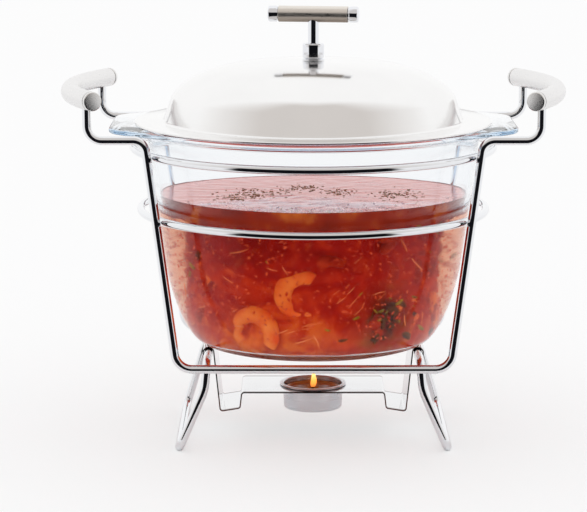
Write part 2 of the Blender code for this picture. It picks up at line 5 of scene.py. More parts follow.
import bmesh
import bpy
from mathutils import Matrix, Vector, noise


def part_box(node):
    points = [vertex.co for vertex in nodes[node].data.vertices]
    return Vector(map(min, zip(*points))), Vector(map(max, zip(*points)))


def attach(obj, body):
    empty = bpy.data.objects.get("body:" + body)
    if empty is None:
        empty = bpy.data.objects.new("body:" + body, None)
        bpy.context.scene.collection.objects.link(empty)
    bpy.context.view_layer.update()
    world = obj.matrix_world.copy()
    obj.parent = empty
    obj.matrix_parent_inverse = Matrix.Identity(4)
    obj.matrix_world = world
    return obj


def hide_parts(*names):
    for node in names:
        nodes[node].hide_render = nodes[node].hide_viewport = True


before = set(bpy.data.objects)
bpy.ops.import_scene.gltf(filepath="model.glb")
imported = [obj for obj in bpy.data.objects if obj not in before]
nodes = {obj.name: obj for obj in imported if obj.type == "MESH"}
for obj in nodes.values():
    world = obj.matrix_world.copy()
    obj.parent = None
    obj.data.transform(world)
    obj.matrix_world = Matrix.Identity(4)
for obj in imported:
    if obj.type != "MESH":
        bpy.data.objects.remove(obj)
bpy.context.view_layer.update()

# Sizes of the solids, in metres, with Z from the floor up and the front facing -Y
GAP = 0.0003
MERGE_DISTANCE = 0.000001
ROD_RADIUS = 0.0027
FRAME_DEPTH = 0.0626
BAR_HEIGHT = 0.0546
BAR_HALF_WIDTH = 0.0855
SHELF_HEIGHT = 0.1985
SHOULDER_HALF_WIDTH = 0.1042
RISER_HALF_WIDTH = 0.1395
RISER_TOP = 0.2260
BAR_BEND = 0.0110
SHOULDER_BEND = 0.0080
RISER_BEND = 0.0090

RING_ROD_RADIUS = 0.0025
UPPER_RING_HEIGHT = 0.1874
LOWER_RING_HEIGHT = 0.1472

LEG_TOP_HEIGHT = 0.0565
LEG_TOP_HALF_WIDTH = 0.0670
LEG_KNEE_HEIGHT = 0.0400
LEG_FRONT_KNEE_HALF_WIDTH = 0.0685
LEG_REAR_KNEE_HALF_WIDTH = 0.0735
LEG_FOOT_HALF_WIDTH = 0.0848
LEG_FOOT_DEPTH = 0.0580
LEG_FOOT_HEIGHT = 0.0019
LEG_TOP_BEND = 0.0060
LEG_KNEE_BEND = 0.0300
LEG_FOOT_BEND = 0.0070

STRIP_THICKNESS = 0.0008
STRIP_HALF_DEPTH = 0.0235
STRIP_BEND = 0.0018
# Width of the painted dark reflection along each long edge of the strip
STRIP_PAINTED_REFLECTION_WIDTH = 0.0030
PLATE_HEIGHT = 0.0302
PLATE_HALF_WIDTH = 0.0458
TROUGH_INNER_HALF_WIDTH = 0.0470
TROUGH_INNER_HEIGHT = 0.0200
TROUGH_OUTER_HALF_WIDTH = 0.0596
TROUGH_OUTER_HEIGHT = 0.0180
BURNER_HOLE_RADIUS = 0.0200

GRIP_RADIUS = 0.0060
GRIP_BORE = 0.0049
GRIP_HEIGHT = 0.2235
GRIP_MIDDLE_HALF_WIDTH = 0.1542
GRIP_TUBE_DEPTH = 0.0690
GRIP_CAP_THICKNESS = 0.0028
GRIP_CAP_ROUNDING = 0.0009
GRIP_CAP_PLUG = 0.0040
GRIP_CAP_GROOVE = 0.0006

BOWL_BASE_HEIGHT = 0.0615
BOWL_SHOULDER_HEIGHT = 0.1150
BOWL_SHOULDER_RADIUS = 0.0955
BOWL_CORNER_WIDTH = 0.0175
BOWL_WALL = 0.0036
BOWL_FLOOR = 0.0050
BOWL_RIM_BOTTOM = 0.1993
BOWL_RIM_TOP = 0.2024
BOWL_RIM_RADIUS = 0.1140
BOWL_RIM_ROUNDING = 0.0011
BOWL_RIM_FILLET = 0.0030
LUG_STAND_OUT = 0.0147
LUG_CORNER_RADIUS = 0.0240
LUG_CORNER_DEPTH = 0.0268

LID_SHEET = 0.0012
LID_BAND_BOTTOM_RADIUS = 0.0959
LID_BAND_TOP_RADIUS = 0.0910
LID_BAND_TOP_HEIGHT = 0.2165
LID_TOP_HEIGHT = 0.2416
LID_LIP_RADIUS = 0.1000
LID_LIP_DEPTH = 0.0035
LID_HOLE_RADIUS = 0.0025
LID_FILLET = 0.0020

WASHER_RADIUS = 0.0072
WASHER_THICKNESS = 0.0009
WASHER_ROUNDING = 0.0003
COLLAR_RADIUS = 0.0068
COLLAR_TOP_ABOVE_LID = 0.0110
COLLAR_ROUNDING = 0.0010
COLLAR_DISH = 0.0012
POST_RADIUS = 0.0034
STUD_RADIUS = 0.0022
CROSSBAR_ABOVE_LID = 0.0294
CROSSBAR_RADIUS = 0.0051
CROSSBAR_HALF_LENGTH = 0.0289
CROSSBAR_CAP_LENGTH = 0.0064
CROSSBAR_CAP_ROUNDING = 0.0012
CROSSBAR_CAP_GROOVE = 0.0006
CORE_RADIUS = 0.0030
CORE_INSET = 0.0020

CUP_TOP_RADIUS = 0.0194
CUP_BOTTOM_RADIUS = 0.0188
CUP_BOTTOM_HEIGHT = 0.0159
CUP_SHEET = 0.0005
CUP_EDGE_RADIUS = 0.0216
CUP_CORNER_RADIUS = 0.0008
WAX_TOP = 0.0275
WICK_RADIUS = 0.0008
FLAME_BASE = 0.0282
FLAME_TOP = 0.0400
FLAME_RADIUS = 0.0020

# Soup, garnish and herbs
SOUP_TOP = 0.1588
SOUP_OVERLAP = 0.00015
SOUP_LIFT = 0.0014
MENISCUS = 0.0008
MENISCUS_REACH = 0.0032
SKIN_THICKNESS = 0.0008
SKIN_INSET = 0.0005
SKIN_RIPPLE = 0.0080
FAT_RING_HEIGHT = 0.0100
FAT_RING_INSET = 0.0004
CLOUD_RADIUS = 0.0595
CLOUD_ROUNDING = 0.0060
CLOUD_SWELL = 0.0055
CLOUD_LUMP = 0.0160
CLOUD_BELOW_TOP = 0.0009
SHRIMP_BEND_RADIUS = 0.0122
SHRIMP_THICKNESS = 0.0054
SHRIMP_SUNK = 0.0010
SHRIMP_LOWEST = 0.0900
SHRIMP_HIGHEST = 0.1320
BITS_LOWEST = BOWL_BASE_HEIGHT + 3 * BOWL_FLOOR
BITS_HIGHEST = SOUP_TOP - 2 * BOWL_FLOOR
HAZE_HIGHEST = SOUP_TOP - BOWL_FLOOR / 2
HERB_LENGTHS = (0.0004, 0.0013)
FOAM_SIZES = (0.0004, 0.0011)
FOAM_INSET = 0.0030
FOAM_DEPTH = 0.0130
PALE_PATCH = (0.0, -0.062, 0.0)
PALE_PATCH_REACH = 0.05

# Heights of surface relief and reaches of light in food, in metres
CHROME_RELIEF = 0.000004
BRUSHED_RELIEF = 0.000008
SPUN_RELIEF = 0.000002
GLASS_RELIEF = 0.0006
BROTH_RELIEF = 0.0004
SKIN_RELIEF = 0.0001
FOOD_RELIEF = 0.0004
FOOD_GLOW_DEPTHS = (0.004, 0.002, 0.001)

# Angles, counts and shares
CROSSBAR_TURN = math.radians(-9.0)
HOOK_END_ANGLE = math.radians(-25.0)
SHARP_ANGLE = math.radians(40.0)
ROD_ROUNDNESS = 10
GRIP_ROUNDNESS = 16
SMALL_STEPS = 64
CUP_STEPS = 128
RING_STEPS = 144
LID_STEPS = 192
BOWL_STEPS = 288
SOUP_STEPS = 192
BEND_STEPS = 14
EDGE_STEPS = 6
HOOK_STEPS = 24
GRIP_STEPS = 40
BOWL_CURVE_STEPS = 28
DOME_CURVE_STEPS = 48
FLAME_STEPS = 16
BOWL_CORNER_POWER = 1.85
BOWL_LEAN = 0.135
DOME_INNER_POWER = 3.15
DOME_OUTER_POWER = 1.566
DOME_END_SHARE = 0.943
FLAME_LOW_POWER = 0.55
FLAME_BULGE_POWER = 0.8
FLAME_LEAN_SHARE = 0.3
SURFACE_RINGS = 24
CAUGHT_BOUNCES = 4.5
ANY_BOUNCE = 0.5
CLOUD_RINGS = 40
CLOUD_END_POWER = 6.0
SHRIMP_RINGS = 48
SHRIMP_SIDES = 24
SHRIMP_SEGMENTS = 7
SHRIMP_START = math.radians(-15.0)
SHRIMP_SWEEP = math.radians(250.0)
SHRIMP_CURL_SHARE = 0.22
SHRIMP_HEAD_SHARE = 0.20
SHRIMP_BODY_SHARE = 0.62
SHRIMP_BODY_POWER = 0.7
SHRIMP_TAPER_SHARE = 0.55
SHRIMP_RIDGE_SHARE = 0.08
SHRIMP_FAN_SHARE = 0.1
SHRIMP_FAN_GROWTH = 0.9
SHRIMP_WIDTH_SHARE = 0.85
SHRIMP_BEARINGS = (32.0, 78.0, 118.0, 256.0, 300.0, 344.0)
SHRIMP_SIZE_SHARES = (0.8, 1.0)
THREAD_LEAN = math.radians(-42.0)
BIT_TILT = 0.35
BIT_NOISE_SCALE = 1.7
BIT_LUMP_SHARE = 0.25
BIT_THICKNESS_SHARES = (0.5, 1.0)
CLUSTER_HEIGHT_SHARE = 0.8
HERB_LUMP_SHARE = 0.5
HERB_WIDTH_SHARES = (0.3, 0.9)
HERB_ALONG_SHARE = 1.6
FOAM_COUNT = 240
FOAM_HALF_ANGLE = 0.42
FOAM_FLAT_SHARE = 0.35
SEED = 7

# Soft patches in the soup: middle, reach, share, colour
SOUP_PATCHES = (
    ((0.040, -0.045, 0.086), 0.028, 1.0, (0.07, 0.014, 0.005)),
    ((-0.036, -0.048, 0.078), 0.026, 0.45, (0.90, 0.22, 0.03)),
    ((0.006, -0.060, 0.070), 0.018, 0.3, (0.80, 0.26, 0.10)),
)

# Shrimps in front: piece, across, height, roll in degrees, size as a share
FRONT_SHRIMPS = (
    ("shrimp_front", -0.0065, 0.1035, -75.0, 1.0),
    ("shrimp_low", -0.0340, 0.0800, 20.0, 1.05),
)

# Bits in the soup: piece, look, half lengths, slimness share, curl share, more settings, places.
# A place of four numbers is a spread all round (count, highest, nearest, deepest) and one of six
# is a cluster in front (count, across, height, size, nearest, deepest), with nearest and deepest
# counted outwards from the cloudy middle.
BITS = (
    ("soup_pulp", "pulp", (0.0030, 0.0080), 0.7, 0.2, {}, [(190, BITS_HIGHEST, -0.0025, -0.0070)]),
    ("soup_haze", "haze", (0.0006, 0.0015), 0.6, 0.1, {"fineness": 1},
     [(1500, HAZE_HIGHEST, 0.0170, 0.0020)]),
    ("soup_threads", "thread", (0.0022, 0.0060), 0.10, 0.12, {}, [(46, BITS_HIGHEST, 0.0100, 0.0)]),
    ("threads_right", "thread", (0.0030, 0.0070), 0.07, 0.06, {"lean": THREAD_LEAN, "turn": 0.12},
     [(11, 0.0210, 0.1040, 0.0080, 0.0060, 0.0010)]),
    ("threads_low", "thread", (0.0030, 0.0065), 0.06, 0.06, {"lean": THREAD_LEAN / 2, "turn": 0.25},
     [(9, -0.0080, 0.0800, 0.0050, 0.0050, 0.0010)]),
    ("soup_leaves", "leaf", (0.0020, 0.0048), 0.5, 0.2, {},
     [(26, 0.0400, 0.0870, 0.0085, 0.0015, -0.0020), (9, BITS_HIGHEST, 0.0010, -0.0015)]),
    ("soup_greens", "green", (0.0010, 0.0032), 0.4, 0.15, {},
     [(26, BITS_HIGHEST, 0.0080, 0.0010), (9, 0.0470, 0.0930, 0.0075, 0.0070, 0.0010),
      (6, 0.0560, 0.1480, 0.0060, 0.0080, 0.0030)]),
)

# Herb clusters on the soup: across, along, spread, count
HERB_CLUSTERS = (
    (-0.050, -0.022, 0.0070, 64),
    (-0.034, -0.002, 0.0075, 80),
    (-0.006, 0.022, 0.0080, 76),
    (0.016, 0.004, 0.0075, 60),
    (0.052, -0.010, 0.0080, 84),
)

# Mottled looks: colour ramp of (position, colour) stops, scale of the grain and roughness
MOTTLED = {
    "wick_cotton": ([(0.3, (0.02, 0.015, 0.012)), (0.7, (0.06, 0.04, 0.03))], 900.0, 0.95),
    "fat": ([(0.34, (0.19, 0.010, 0.003)), (0.58, (0.31, 0.022, 0.005)), (0.80, (0.66, 0.16, 0.018))],
            60.0, 0.45),
    "shrimp": ([(0.3, (0.84, 0.10, 0.015)), (0.7, (0.98, 0.34, 0.07))], 90.0, 0.45),
    "pulp": ([(0.3, (0.34, 0.008, 0.003)), (0.7, (0.62, 0.07, 0.014))], 120.0, 0.45),
    "thread": ([(0.3, (0.88, 0.22, 0.06)), (0.7, (0.97, 0.42, 0.16))], 150.0, 0.45),
    "green": ([(0.3, (0.16, 0.14, 0.01)), (0.7, (0.52, 0.42, 0.03))], 300.0, 0.45),
    "haze": ([(0.3, (0.60, 0.035, 0.010)), (0.7, (0.86, 0.19, 0.06))], 80.0, 0.45),
    "leaf": ([(0.3, (0.05, 0.014, 0.005)), (0.7, (0.22, 0.09, 0.018))], 220.0, 0.45),
    "herb": ([(0.3, (0.36, 0.25, 0.14)), (0.7, (0.66, 0.48, 0.32))], 500.0, 0.45),
    "foam": ([(0.3, (0.90, 0.66, 0.66)), (0.7, (1.0, 0.92, 0.94))], 400.0, 0.3),
}

# Studio and camera
FLOOR_REACH = 14.0
DARK_FLOOR_FRONT = -0.14
DARK_HALF_AZIMUTH = math.radians(50.0)
DARK_TOP = math.radians(20.0)
DARK_EDGE = math.radians(4.0)
ROOM_TOP = math.radians(90.0)
ROOM_EDGE = math.radians(14.0)
ROOM_HALF_AZIMUTH = math.radians(76.0)
ROOM_SIDE_EDGE = math.radians(30.0)
FLOOR_GLOW_SHARE = 0.5
FLAME_STRENGTH = 1.2
SENSOR_WIDTH_MM = 36.0
LENS_MM = 150.4
CAMERA_PLACE = (-0.0126, -1.5565, 0.3980)
CAMERA_TILT = math.radians(79.7)

WHITE = (1.0, 1.0, 1.0)
DARK_COLOUR = (0.006, 0.006, 0.008)
GLASS_DARK_COLOUR = (0.55, 0.66, 0.80)
ROOM_COLOUR = (0.68, 0.645, 0.62)
FLOOR_COLOUR = (0.95, 0.95, 0.955)
# Painted dark reflection in the long rounded edges of the burner strip
STRIP_PAINTED_REFLECTION_COLOUR = (0.10, 0.05, 0.045)
# Painted shade on the underside of the crossbar sleeve
SLEEVE_PAINTED_SHADE_COLOUR = (0.20, 0.14, 0.10)


# Material helpers

def feed(node, inputs):
    """Give a node its inputs, each a plain value, a colour or another node's output."""
    for key, value in inputs.items():
        socket = node.inputs[key]
        if isinstance(value, bpy.types.NodeSocket):
            node.id_data.links.new(value, socket)
        elif socket.type == "RGBA":
            socket.default_value = (*value, 1.0)
        else:
            socket.default_value = value


def add(tree, kind, inputs=None, **settings):
    """New node with its settings and inputs."""
    node = tree.nodes.new(kind)
    for key, value in settings.items():
        setattr(node, key, value)
    feed(node, inputs or {})
    return node


def principled(name, colour, **inputs):
    """New material with a Principled shader, its node tree and the shader."""
    made = bpy.data.materials.new(name)
    made.use_nodes = True
    shader = made.node_tree.nodes["Principled BSDF"]
    feed(shader, {"Base Color": colour})
    feed(shader, {key.replace("_", " "): value for key, value in inputs.items()})
    return made, made.node_tree, shader


def place(tree, stretch=(1.0, 1.0, 1.0)):
    """Position on the piece in metres, stretched along its axes."""
    position = add(tree, "ShaderNodeTexCoord").outputs["Object"]
    return add(tree, "ShaderNodeMapping", {"Vector": position, "Scale": stretch}).outputs["Vector"]


def axes(tree, vector):
    """X, Y and Z of a position or a direction."""
    return add(tree, "ShaderNodeSeparateXYZ", {"Vector": vector}).outputs


def calculate(tree, operation, *values):
    """Math node on one or two inputs, each a number or another node's output."""
    return add(tree, "ShaderNodeMath", dict(enumerate(values)), operation=operation).outputs[0]


def distance_from(tree, spot, stretch=(1.0, 1.0, 1.0)):
    """Distance between the stretched position on the piece and a spot."""
    ends = {0: place(tree, stretch), 1: spot}
    return add(tree, "ShaderNodeVectorMath", ends, operation="DISTANCE").outputs["Value"]


def speckle(tree, scale, detail=3.0, stretch=(1.0, 1.0, 1.0), **more):
    """Noise between 0 and 1 over the position on the piece."""
    inputs = {"Vector": place(tree, stretch), "Scale": scale, "Detail": detail, **more}
    return add(tree, "ShaderNodeTexNoise", inputs).outputs["Fac"]


def ranged(tree, value, low, high, start=0.0, end=1.0):
    """A value between start and end spread to between low and high."""
    inputs = {"Value": value, "From Min": start, "From Max": end, "To Min": low, "To Max": high}
    return add(tree, "ShaderNodeMapRange", inputs).outputs["Result"]


def tinted(tree, value, stops):
    """Colour ramp over a value, from (position, colour) stops."""
    ramp = add(tree, "ShaderNodeValToRGB", {"Fac": value})
    while len(ramp.color_ramp.elements) < len(stops):
        ramp.color_ramp.elements.new(1.0)
    for element, (position, colour) in zip(ramp.color_ramp.elements, stops):
        element.position = position
        element.color = (*colour, 1.0)
    return ramp.outputs["Color"]


def mixed(tree, factor, first, second):
    """Colour between two others, each a colour or another node's output."""
    inputs = {"Factor": factor, "A": first, "B": second}
    return add(tree, "ShaderNodeMix", inputs, data_type="RGBA").outputs["Result"]


def blended(tree, factor, first, second):
    """Shader between two others."""
    return add(tree, "ShaderNodeMixShader", {"Fac": factor, 1: first, 2: second}).outputs["Shader"]


def bumped(tree, shader, value, distance, strength):
    """Relief of a given height in metres on a shader."""
    bump = add(tree, "ShaderNodeBump", {"Height": value, "Distance": distance, "Strength": strength})
    feed(shader, {"Normal": bump.outputs["Normal"]})


def overlaid(made, share, colour):
    """Colour mixed over the base colour of a material."""
    shader = made.node_tree.nodes["Principled BSDF"]
    under = shader.inputs["Base Color"].links[0].from_socket
    feed(shader, {"Base Color": mixed(made.node_tree, share, under, colour)})
    return made


def dimmed(colour, share):
    """A colour made darker."""
    return tuple(part * share for part in colour)


# Materials

def bright_chrome(name, colour=(0.88, 0.89, 0.91), smooth=0.025, worn=0.075):
    """Polished plating with faint wiping marks."""
    made, tree, shader = principled(name, colour, Metallic=1.0)
    marks = speckle(tree, 90.0, detail=6.0)
    feed(shader, {"Roughness": ranged(tree, marks, smooth, worn, 0.3, 0.7)})
    stops = [(0.3, colour), (0.7, dimmed(colour, 0.96))]
    feed(shader, {"Base Color": tinted(tree, speckle(tree, 25.0), stops)})
    bumped(tree, shader, speckle(tree, 160.0), CHROME_RELIEF, 0.4)
    return made


def satin_steel(name, colour, along, smooth=0.26, worn=0.40):
    """Brushed steel whose fine lines run along one axis."""
    made, tree, shader = principled(name, colour, Metallic=1.0)
    stretch = tuple(30.0 if axis == along else 1600.0 for axis in range(3))
    grain = speckle(tree, 1.0, detail=4.0, stretch=stretch)
    feed(shader, {"Roughness": ranged(tree, grain, smooth, worn, 0.3, 0.7)})
    feed(shader, {"Base Color": tinted(tree, grain, [(0.25, dimmed(colour, 0.93)), (0.75, colour)])})
    bumped(tree, shader, grain, BRUSHED_RELIEF, 0.35)
    return made


def spun_steel(name, colour, smooth=0.10, worn=0.17):
    """Polished sheet with faint rings left by spinning it round Z."""
    made, tree, shader = principled(name, colour, Metallic=1.0)
    radius = distance_from(tree, (0.0, 0.0, 0.0), stretch=(1.0, 1.0, 0.0))
    inputs = {"W": radius, "Scale": 2600.0, "Detail": 4.0}
    rings = add(tree, "ShaderNodeTexNoise", inputs, noise_dimensions="1D").outputs["Fac"]
    feed(shader, {"Roughness": ranged(tree, rings, smooth, worn, 0.3, 0.7)})
    stops = [(0.3, colour), (0.7, dimmed(colour, 0.97))]
    feed(shader, {"Base Color": tinted(tree, speckle(tree, 30.0), stops)})
    bumped(tree, shader, rings, SPUN_RELIEF, 0.3)
    return made


def painted_edge_reflections(made):
    """Painted dark reflections in the rounded long edges of the strip, mixed over its base colour."""
    tree = made.node_tree
    depth = calculate(tree, "ABSOLUTE", axes(tree, place(tree))["Y"])
    painted_reflection_share = ranged(tree, depth, 0.0, 1.0, STRIP_HALF_DEPTH - STRIP_PAINTED_REFLECTION_WIDTH, STRIP_HALF_DEPTH)
    return overlaid(made, painted_reflection_share, STRIP_PAINTED_REFLECTION_COLOUR)


def painted_shade_below(made):
    """Painted shade: darker and warmer tone towards the underside of the crossbar."""
    tree = made.node_tree
    middle = LID_TOP_HEIGHT + CROSSBAR_ABOVE_LID
    # Painted shade, strongest at the underside of the crossbar and gone at its middle
    below = ranged(tree, axes(tree, place(tree))["Z"], 1.0, 0.0, middle - CROSSBAR_RADIUS, middle)
    return overlaid(made, below, SLEEVE_PAINTED_SHADE_COLOUR)


def lets_light_in(tree, shader):
    """Shadow and diffuse rays, and those caught for long, go straight through, so that the inside is lit."""
    rays = add(tree, "ShaderNodeLightPath").outputs
    straight = add(tree, "ShaderNodeBsdfTransparent").outputs["BSDF"]
    caught = calculate(tree, "GREATER_THAN", rays["Ray Depth"], CAUGHT_BOUNCES)
    surface = shader.outputs["BSDF"]
    for factor in (rays["Is Diffuse Ray"], rays["Is Shadow Ray"], caught):
        surface = blended(tree, factor, surface, straight)
    feed(tree.nodes["Material Output"], {"Surface": surface})


def clear(name, scale, detail, relief, strength, colour, density, **inputs):
    """Clear, faintly wavy glass or liquid whose tint deepens with the way that light goes through it."""
    made, tree, shader = principled(name, WHITE, Transmission_Weight=1.0, **inputs)
    bumped(tree, shader, speckle(tree, scale, detail), relief, strength)
    lets_light_in(tree, shader)
    tint = add(tree, "ShaderNodeVolumeAbsorption", {"Color": colour, "Density": density})
    feed(tree.nodes["Material Output"], {"Volume": tint.outputs["Volume"]})
    return made


def clear_glass():
    """Pressed glass, faintly blue where it is thick, with a slow waviness."""
    return clear("bowl_glass", 28.0, 1.0, GLASS_RELIEF, 0.12, colour=(0.30, 0.66, 0.96), density=7.0,
                 Roughness=0.0, IOR=1.47, Specular_Tint=(0.12, 0.13, 0.15))


def broth():
    """Clear red-orange broth that darkens with depth, with fine ripples."""
    return clear("broth", 70.0, 3.0, BROTH_RELIEF, 0.25, colour=(0.92, 0.58, 0.36), density=20.0,
                 Roughness=0.14, IOR=1.34, Specular_Tint=(0.06, 0.06, 0.06))


def pulp_in_depth():
    """Cloudy pulp, dark red near the top and more orange and streaked lower down."""
    made, tree, shader = principled("soup_cloud", (0.5, 0.06, 0.02), Roughness=0.7, Specular_IOR_Level=0.06)
    patches = speckle(tree, 38.0, detail=7.0, stretch=(1.0, 1.0, 1.3), Roughness=0.62, Distortion=1.6)
    height = axes(tree, place(tree))["Z"]
    depth = ranged(tree, height, 0.16, -0.16, BOWL_BASE_HEIGHT + BOWL_FLOOR, SOUP_TOP)
    stops = [(0.30, (0.30, 0.005, 0.002)), (0.46, (0.44, 0.013, 0.004))]
    stops += [(0.60, (0.62, 0.05, 0.010)), (0.76, (0.82, 0.18, 0.03))]
    tone = tinted(tree, calculate(tree, "ADD", patches, depth), stops)
    for spot, reach, share, colour in SOUP_PATCHES:
        near = ranged(tree, distance_from(tree, spot), share, 0.0, 0.0, reach)
        uneven = calculate(tree, "MULTIPLY", near, ranged(tree, patches, 0.4, 1.6, 0.35, 0.65))
        tone = mixed(tree, uneven, tone, colour)
    feed(shader, {"Base Color": tone})
    return made


def fatty_skin():
    """Fatty surface of the soup, pink-brown and glossy."""
    made, tree, shader = principled("soup_skin", (0.80, 0.30, 0.26), Metallic=0.46, Specular_IOR_Level=0.10)
    patches = speckle(tree, 60.0, detail=6.0)
    away = distance_from(tree, PALE_PATCH, stretch=(0.45, 1.0, 0.0))
    pale = calculate(tree, "ADD", patches, ranged(tree, away, 0.42, 0.0, 0.0, PALE_PATCH_REACH))
    stops = [(0.30, (0.84, 0.10, 0.06)), (0.50, (0.88, 0.16, 0.12))]
    stops += [(0.66, (0.92, 0.26, 0.24)), (0.86, (0.94, 0.62, 0.68))]
    feed(shader, {"Base Color": tinted(tree, pale, stops)})
    feed(shader, {"Roughness": ranged(tree, patches, 0.06, 0.16, 0.3, 0.7)})
    bumped(tree, shader, speckle(tree, 120.0), SKIN_RELIEF, 0.25)
    return made


def mottled(name):
    """Soft mottled food, or the charred cotton of the wick."""
    stops, scale, roughness = MOTTLED[name]
    made, tree, shader = principled(name, stops[0][1], Roughness=roughness, Specular_IOR_Level=0.06,
                                    Subsurface_Weight=0.25, Subsurface_Radius=FOOD_GLOW_DEPTHS)
    grain = speckle(tree, scale, detail=5.0)
    feed(shader, {"Base Color": tinted(tree, grain, stops)})
    bumped(tree, shader, grain, FOOD_RELIEF, 0.5)
    return made


def wax():
    """Molten candle wax, orange brown and glossy."""
    made, tree, shader = principled("candle_wax", (0.46, 0.16, 0.05), Roughness=0.12, Coat_Weight=0.5)
    stops = [(0.35, (0.50, 0.19, 0.06)), (0.65, (0.34, 0.10, 0.03))]
    feed(shader, {"Base Color": tinted(tree, speckle(tree, 120.0), stops)})
    return made


def fire():
    """Glow that runs from orange at the wick to pale yellow at the tip."""
    made, tree, shader = principled("flame", (1.0, 0.6, 0.2), Roughness=1.0, Emission_Strength=FLAME_STRENGTH)
    height = ranged(tree, axes(tree, place(tree))["Z"], 0.0, 1.0, FLAME_BASE, FLAME_TOP)
    stops = [(0.0, (0.55, 0.10, 0.01)), (0.40, (1.0, 0.36, 0.03))]
    stops += [(0.75, (1.0, 0.72, 0.25)), (1.0, (1.0, 0.9, 0.6))]
    feed(shader, {"Emission Color": tinted(tree, height, stops)})
    return made


# Mesh helpers

def shares(count):
    """Even steps from 0 to 1."""
    return [step / count for step in range(count + 1)]


def shade(mesh):
    """Smooth shading but for the sharp edges."""
    for polygon in mesh.polygons:
        polygon.use_smooth = True
    mesh.set_sharp_from_angle(angle=SHARP_ANGLE)


def shown(name, data):
    """New object in the scene."""
    made = bpy.data.objects.new(name, data)
    bpy.context.collection.objects.link(made)
    return made


def mesh_from(name, shell):
    """Mesh from a bmesh, which is used up."""
    mesh = bpy.data.meshes.new(name)
    shell.to_mesh(mesh)
    shell.free()
    return mesh


def finished_mesh(made):
    """Mesh of an object with its bevel and modifiers worked in."""
    depsgraph = bpy.context.evaluated_depsgraph_get()
    return bpy.data.meshes.new_from_object(made.evaluated_get(depsgraph))


def add_piece(name, shell, look, body, stands_for=()):
    """Object from a bmesh, riding on a body and standing for the solids it replaces."""
    bmesh.ops.recalc_face_normals(shell, faces=shell.faces)
    if shell.calc_volume(signed=True) < 0.0:
        bmesh.ops.reverse_faces(shell, faces=shell.faces)
    mesh = mesh_from(name, shell)
    shade(mesh)
    mesh.materials.append(look)
    made = shown(name, mesh)
    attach(made, body)
    if stands_for:
        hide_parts(*stands_for)
    return made


def refine(name, shell, look, body):
    """Fine copy that stands for one solid."""
    return add_piece("fine_" + name, shell, look, body, [name])


def repaint(name, look):
    """Give a solid that stays visible its look."""
    nodes[name].data.materials.clear()
    nodes[name].data.materials.append(look)


def circle(radius, steps):
    """Points of a round outline in the plane."""
    step = math.tau / steps
    return [(radius * math.cos(step * k), radius * math.sin(step * k)) for k in range(steps)]


def arc_points(centre, radius, start, end):
    """Points of an arc in the (radius, height) plane between two angles in degrees."""
    angles = [math.radians(start + (end - start) * share) for share in shares(EDGE_STEPS)]
    return [(centre[0] + radius * math.cos(angle), centre[1] + radius * math.sin(angle)) for angle in angles]


def rounded_side(radius, bottom, top, edge):
    """Outer side of a disc or tube with two rounded edges, as (radius, height) points."""
    lower = arc_points((radius - edge, bottom + edge), edge, -90.0, 0.0)
    return lower + arc_points((radius - edge, top - edge), edge, 0.0, 90.0)


def rounded_path(corners, bends, closed=False):
    """Path through straight runs with an arc of the given radius at each inner corner."""
    count = len(corners)
    path = []
    for index, (corner, bend) in enumerate(zip(corners, bends)):
        here = Vector(corner)
        is_end = not closed and index in (0, count - 1)
        if is_end or bend == 0.0:
            path.append(here)
            continue
        back = (Vector(corners[index - 1]) - here).normalized()
        ahead = (Vector(corners[(index + 1) % count]) - here).normalized()
        half = back.angle(ahead) / 2
        centre = here + (back + ahead).normalized() * (bend / math.sin(half))
        reach = bend / math.tan(half)
        first = here + back * reach - centre
        last = here + ahead * reach - centre
        sweep = first.angle(last)
        for share in shares(BEND_STEPS):
            offset = first * math.sin((1 - share) * sweep) + last * math.sin(share * sweep)
            path.append(centre + offset / math.sin(sweep))
    return path


def rod_shell(path, radius, closed=False, roundness=ROD_ROUNDNESS):
    """Bmesh of a round rod along a path, from a curve with a round bevel and filled caps."""
    curve = bpy.data.curves.new("guide", "CURVE")
    curve.dimensions = "3D"
    curve.bevel_depth = radius
    curve.bevel_resolution = roundness
    curve.use_fill_caps = True
    spline = curve.splines.new("POLY")
    spline.points.add(len(path) - 1)
    for point, spot in zip(spline.points, path):
        point.co = (*spot, 1.0)
    spline.use_cyclic_u = closed
    guide = shown("guide", curve)
    shell = bmesh.new()
    shell.from_mesh(finished_mesh(guide))
    bpy.data.objects.remove(guide)
    bmesh.ops.remove_doubles(shell, verts=shell.verts, dist=MERGE_DISTANCE)
    return shell


def turned_shell(profile, steps=SMALL_STEPS, placed=Matrix()):
    """Bmesh of a body of revolution about Z, spun from a closed outline of (radius, height) points."""
    shell = bmesh.new()
    corners = [shell.verts.new((radius, 0, height)) for radius, height in profile]
    sides = list(zip(corners, corners[1:] + corners[:1]))
    edges = [shell.edges.new(side) for side in sides if side[0].co.x > 0.0 or side[1].co.x > 0.0]
    bmesh.ops.spin(shell, geom=corners + edges, cent=(0, 0, 0), axis=(0, 0, 1), angle=math.tau, steps=steps)
    bmesh.ops.remove_doubles(shell, verts=shell.verts, dist=MERGE_DISTANCE)
    shell.transform(placed)
    return shell


def join_rings(shell, rings):
    """Faces between neighbouring rings of points, where a pole is one point repeated."""
    for here, there in zip(rings, rings[1:]):
        for k in range(len(here)):
            following = (k + 1) % len(here)
            shell.faces.new(dict.fromkeys((here[k], here[following], there[following], there[k])))


def cut(body, shell):
    """Take a cutter, given as a bmesh, out of a piece."""
    bmesh.ops.recalc_face_normals(shell, faces=shell.faces)
    cutter = shown("cutter", mesh_from("cutter", shell))
    modifier = body.modifiers.new("cut", "BOOLEAN")
    modifier.operation = "DIFFERENCE"
    modifier.solver = "EXACT"
    modifier.object = cutter
    mesh = finished_mesh(body)
    body.modifiers.clear()
    body.data = mesh
    bpy.data.objects.remove(cutter)
    shade(mesh)


def plain_cylinder(radius, bottom, top, placed=Matrix()):
    """Closed cylinder along Z, used only to cut."""
    return turned_shell([(0.0, bottom), (radius, bottom), (radius, top), (0.0, top)], placed=placed)


# Wire stand

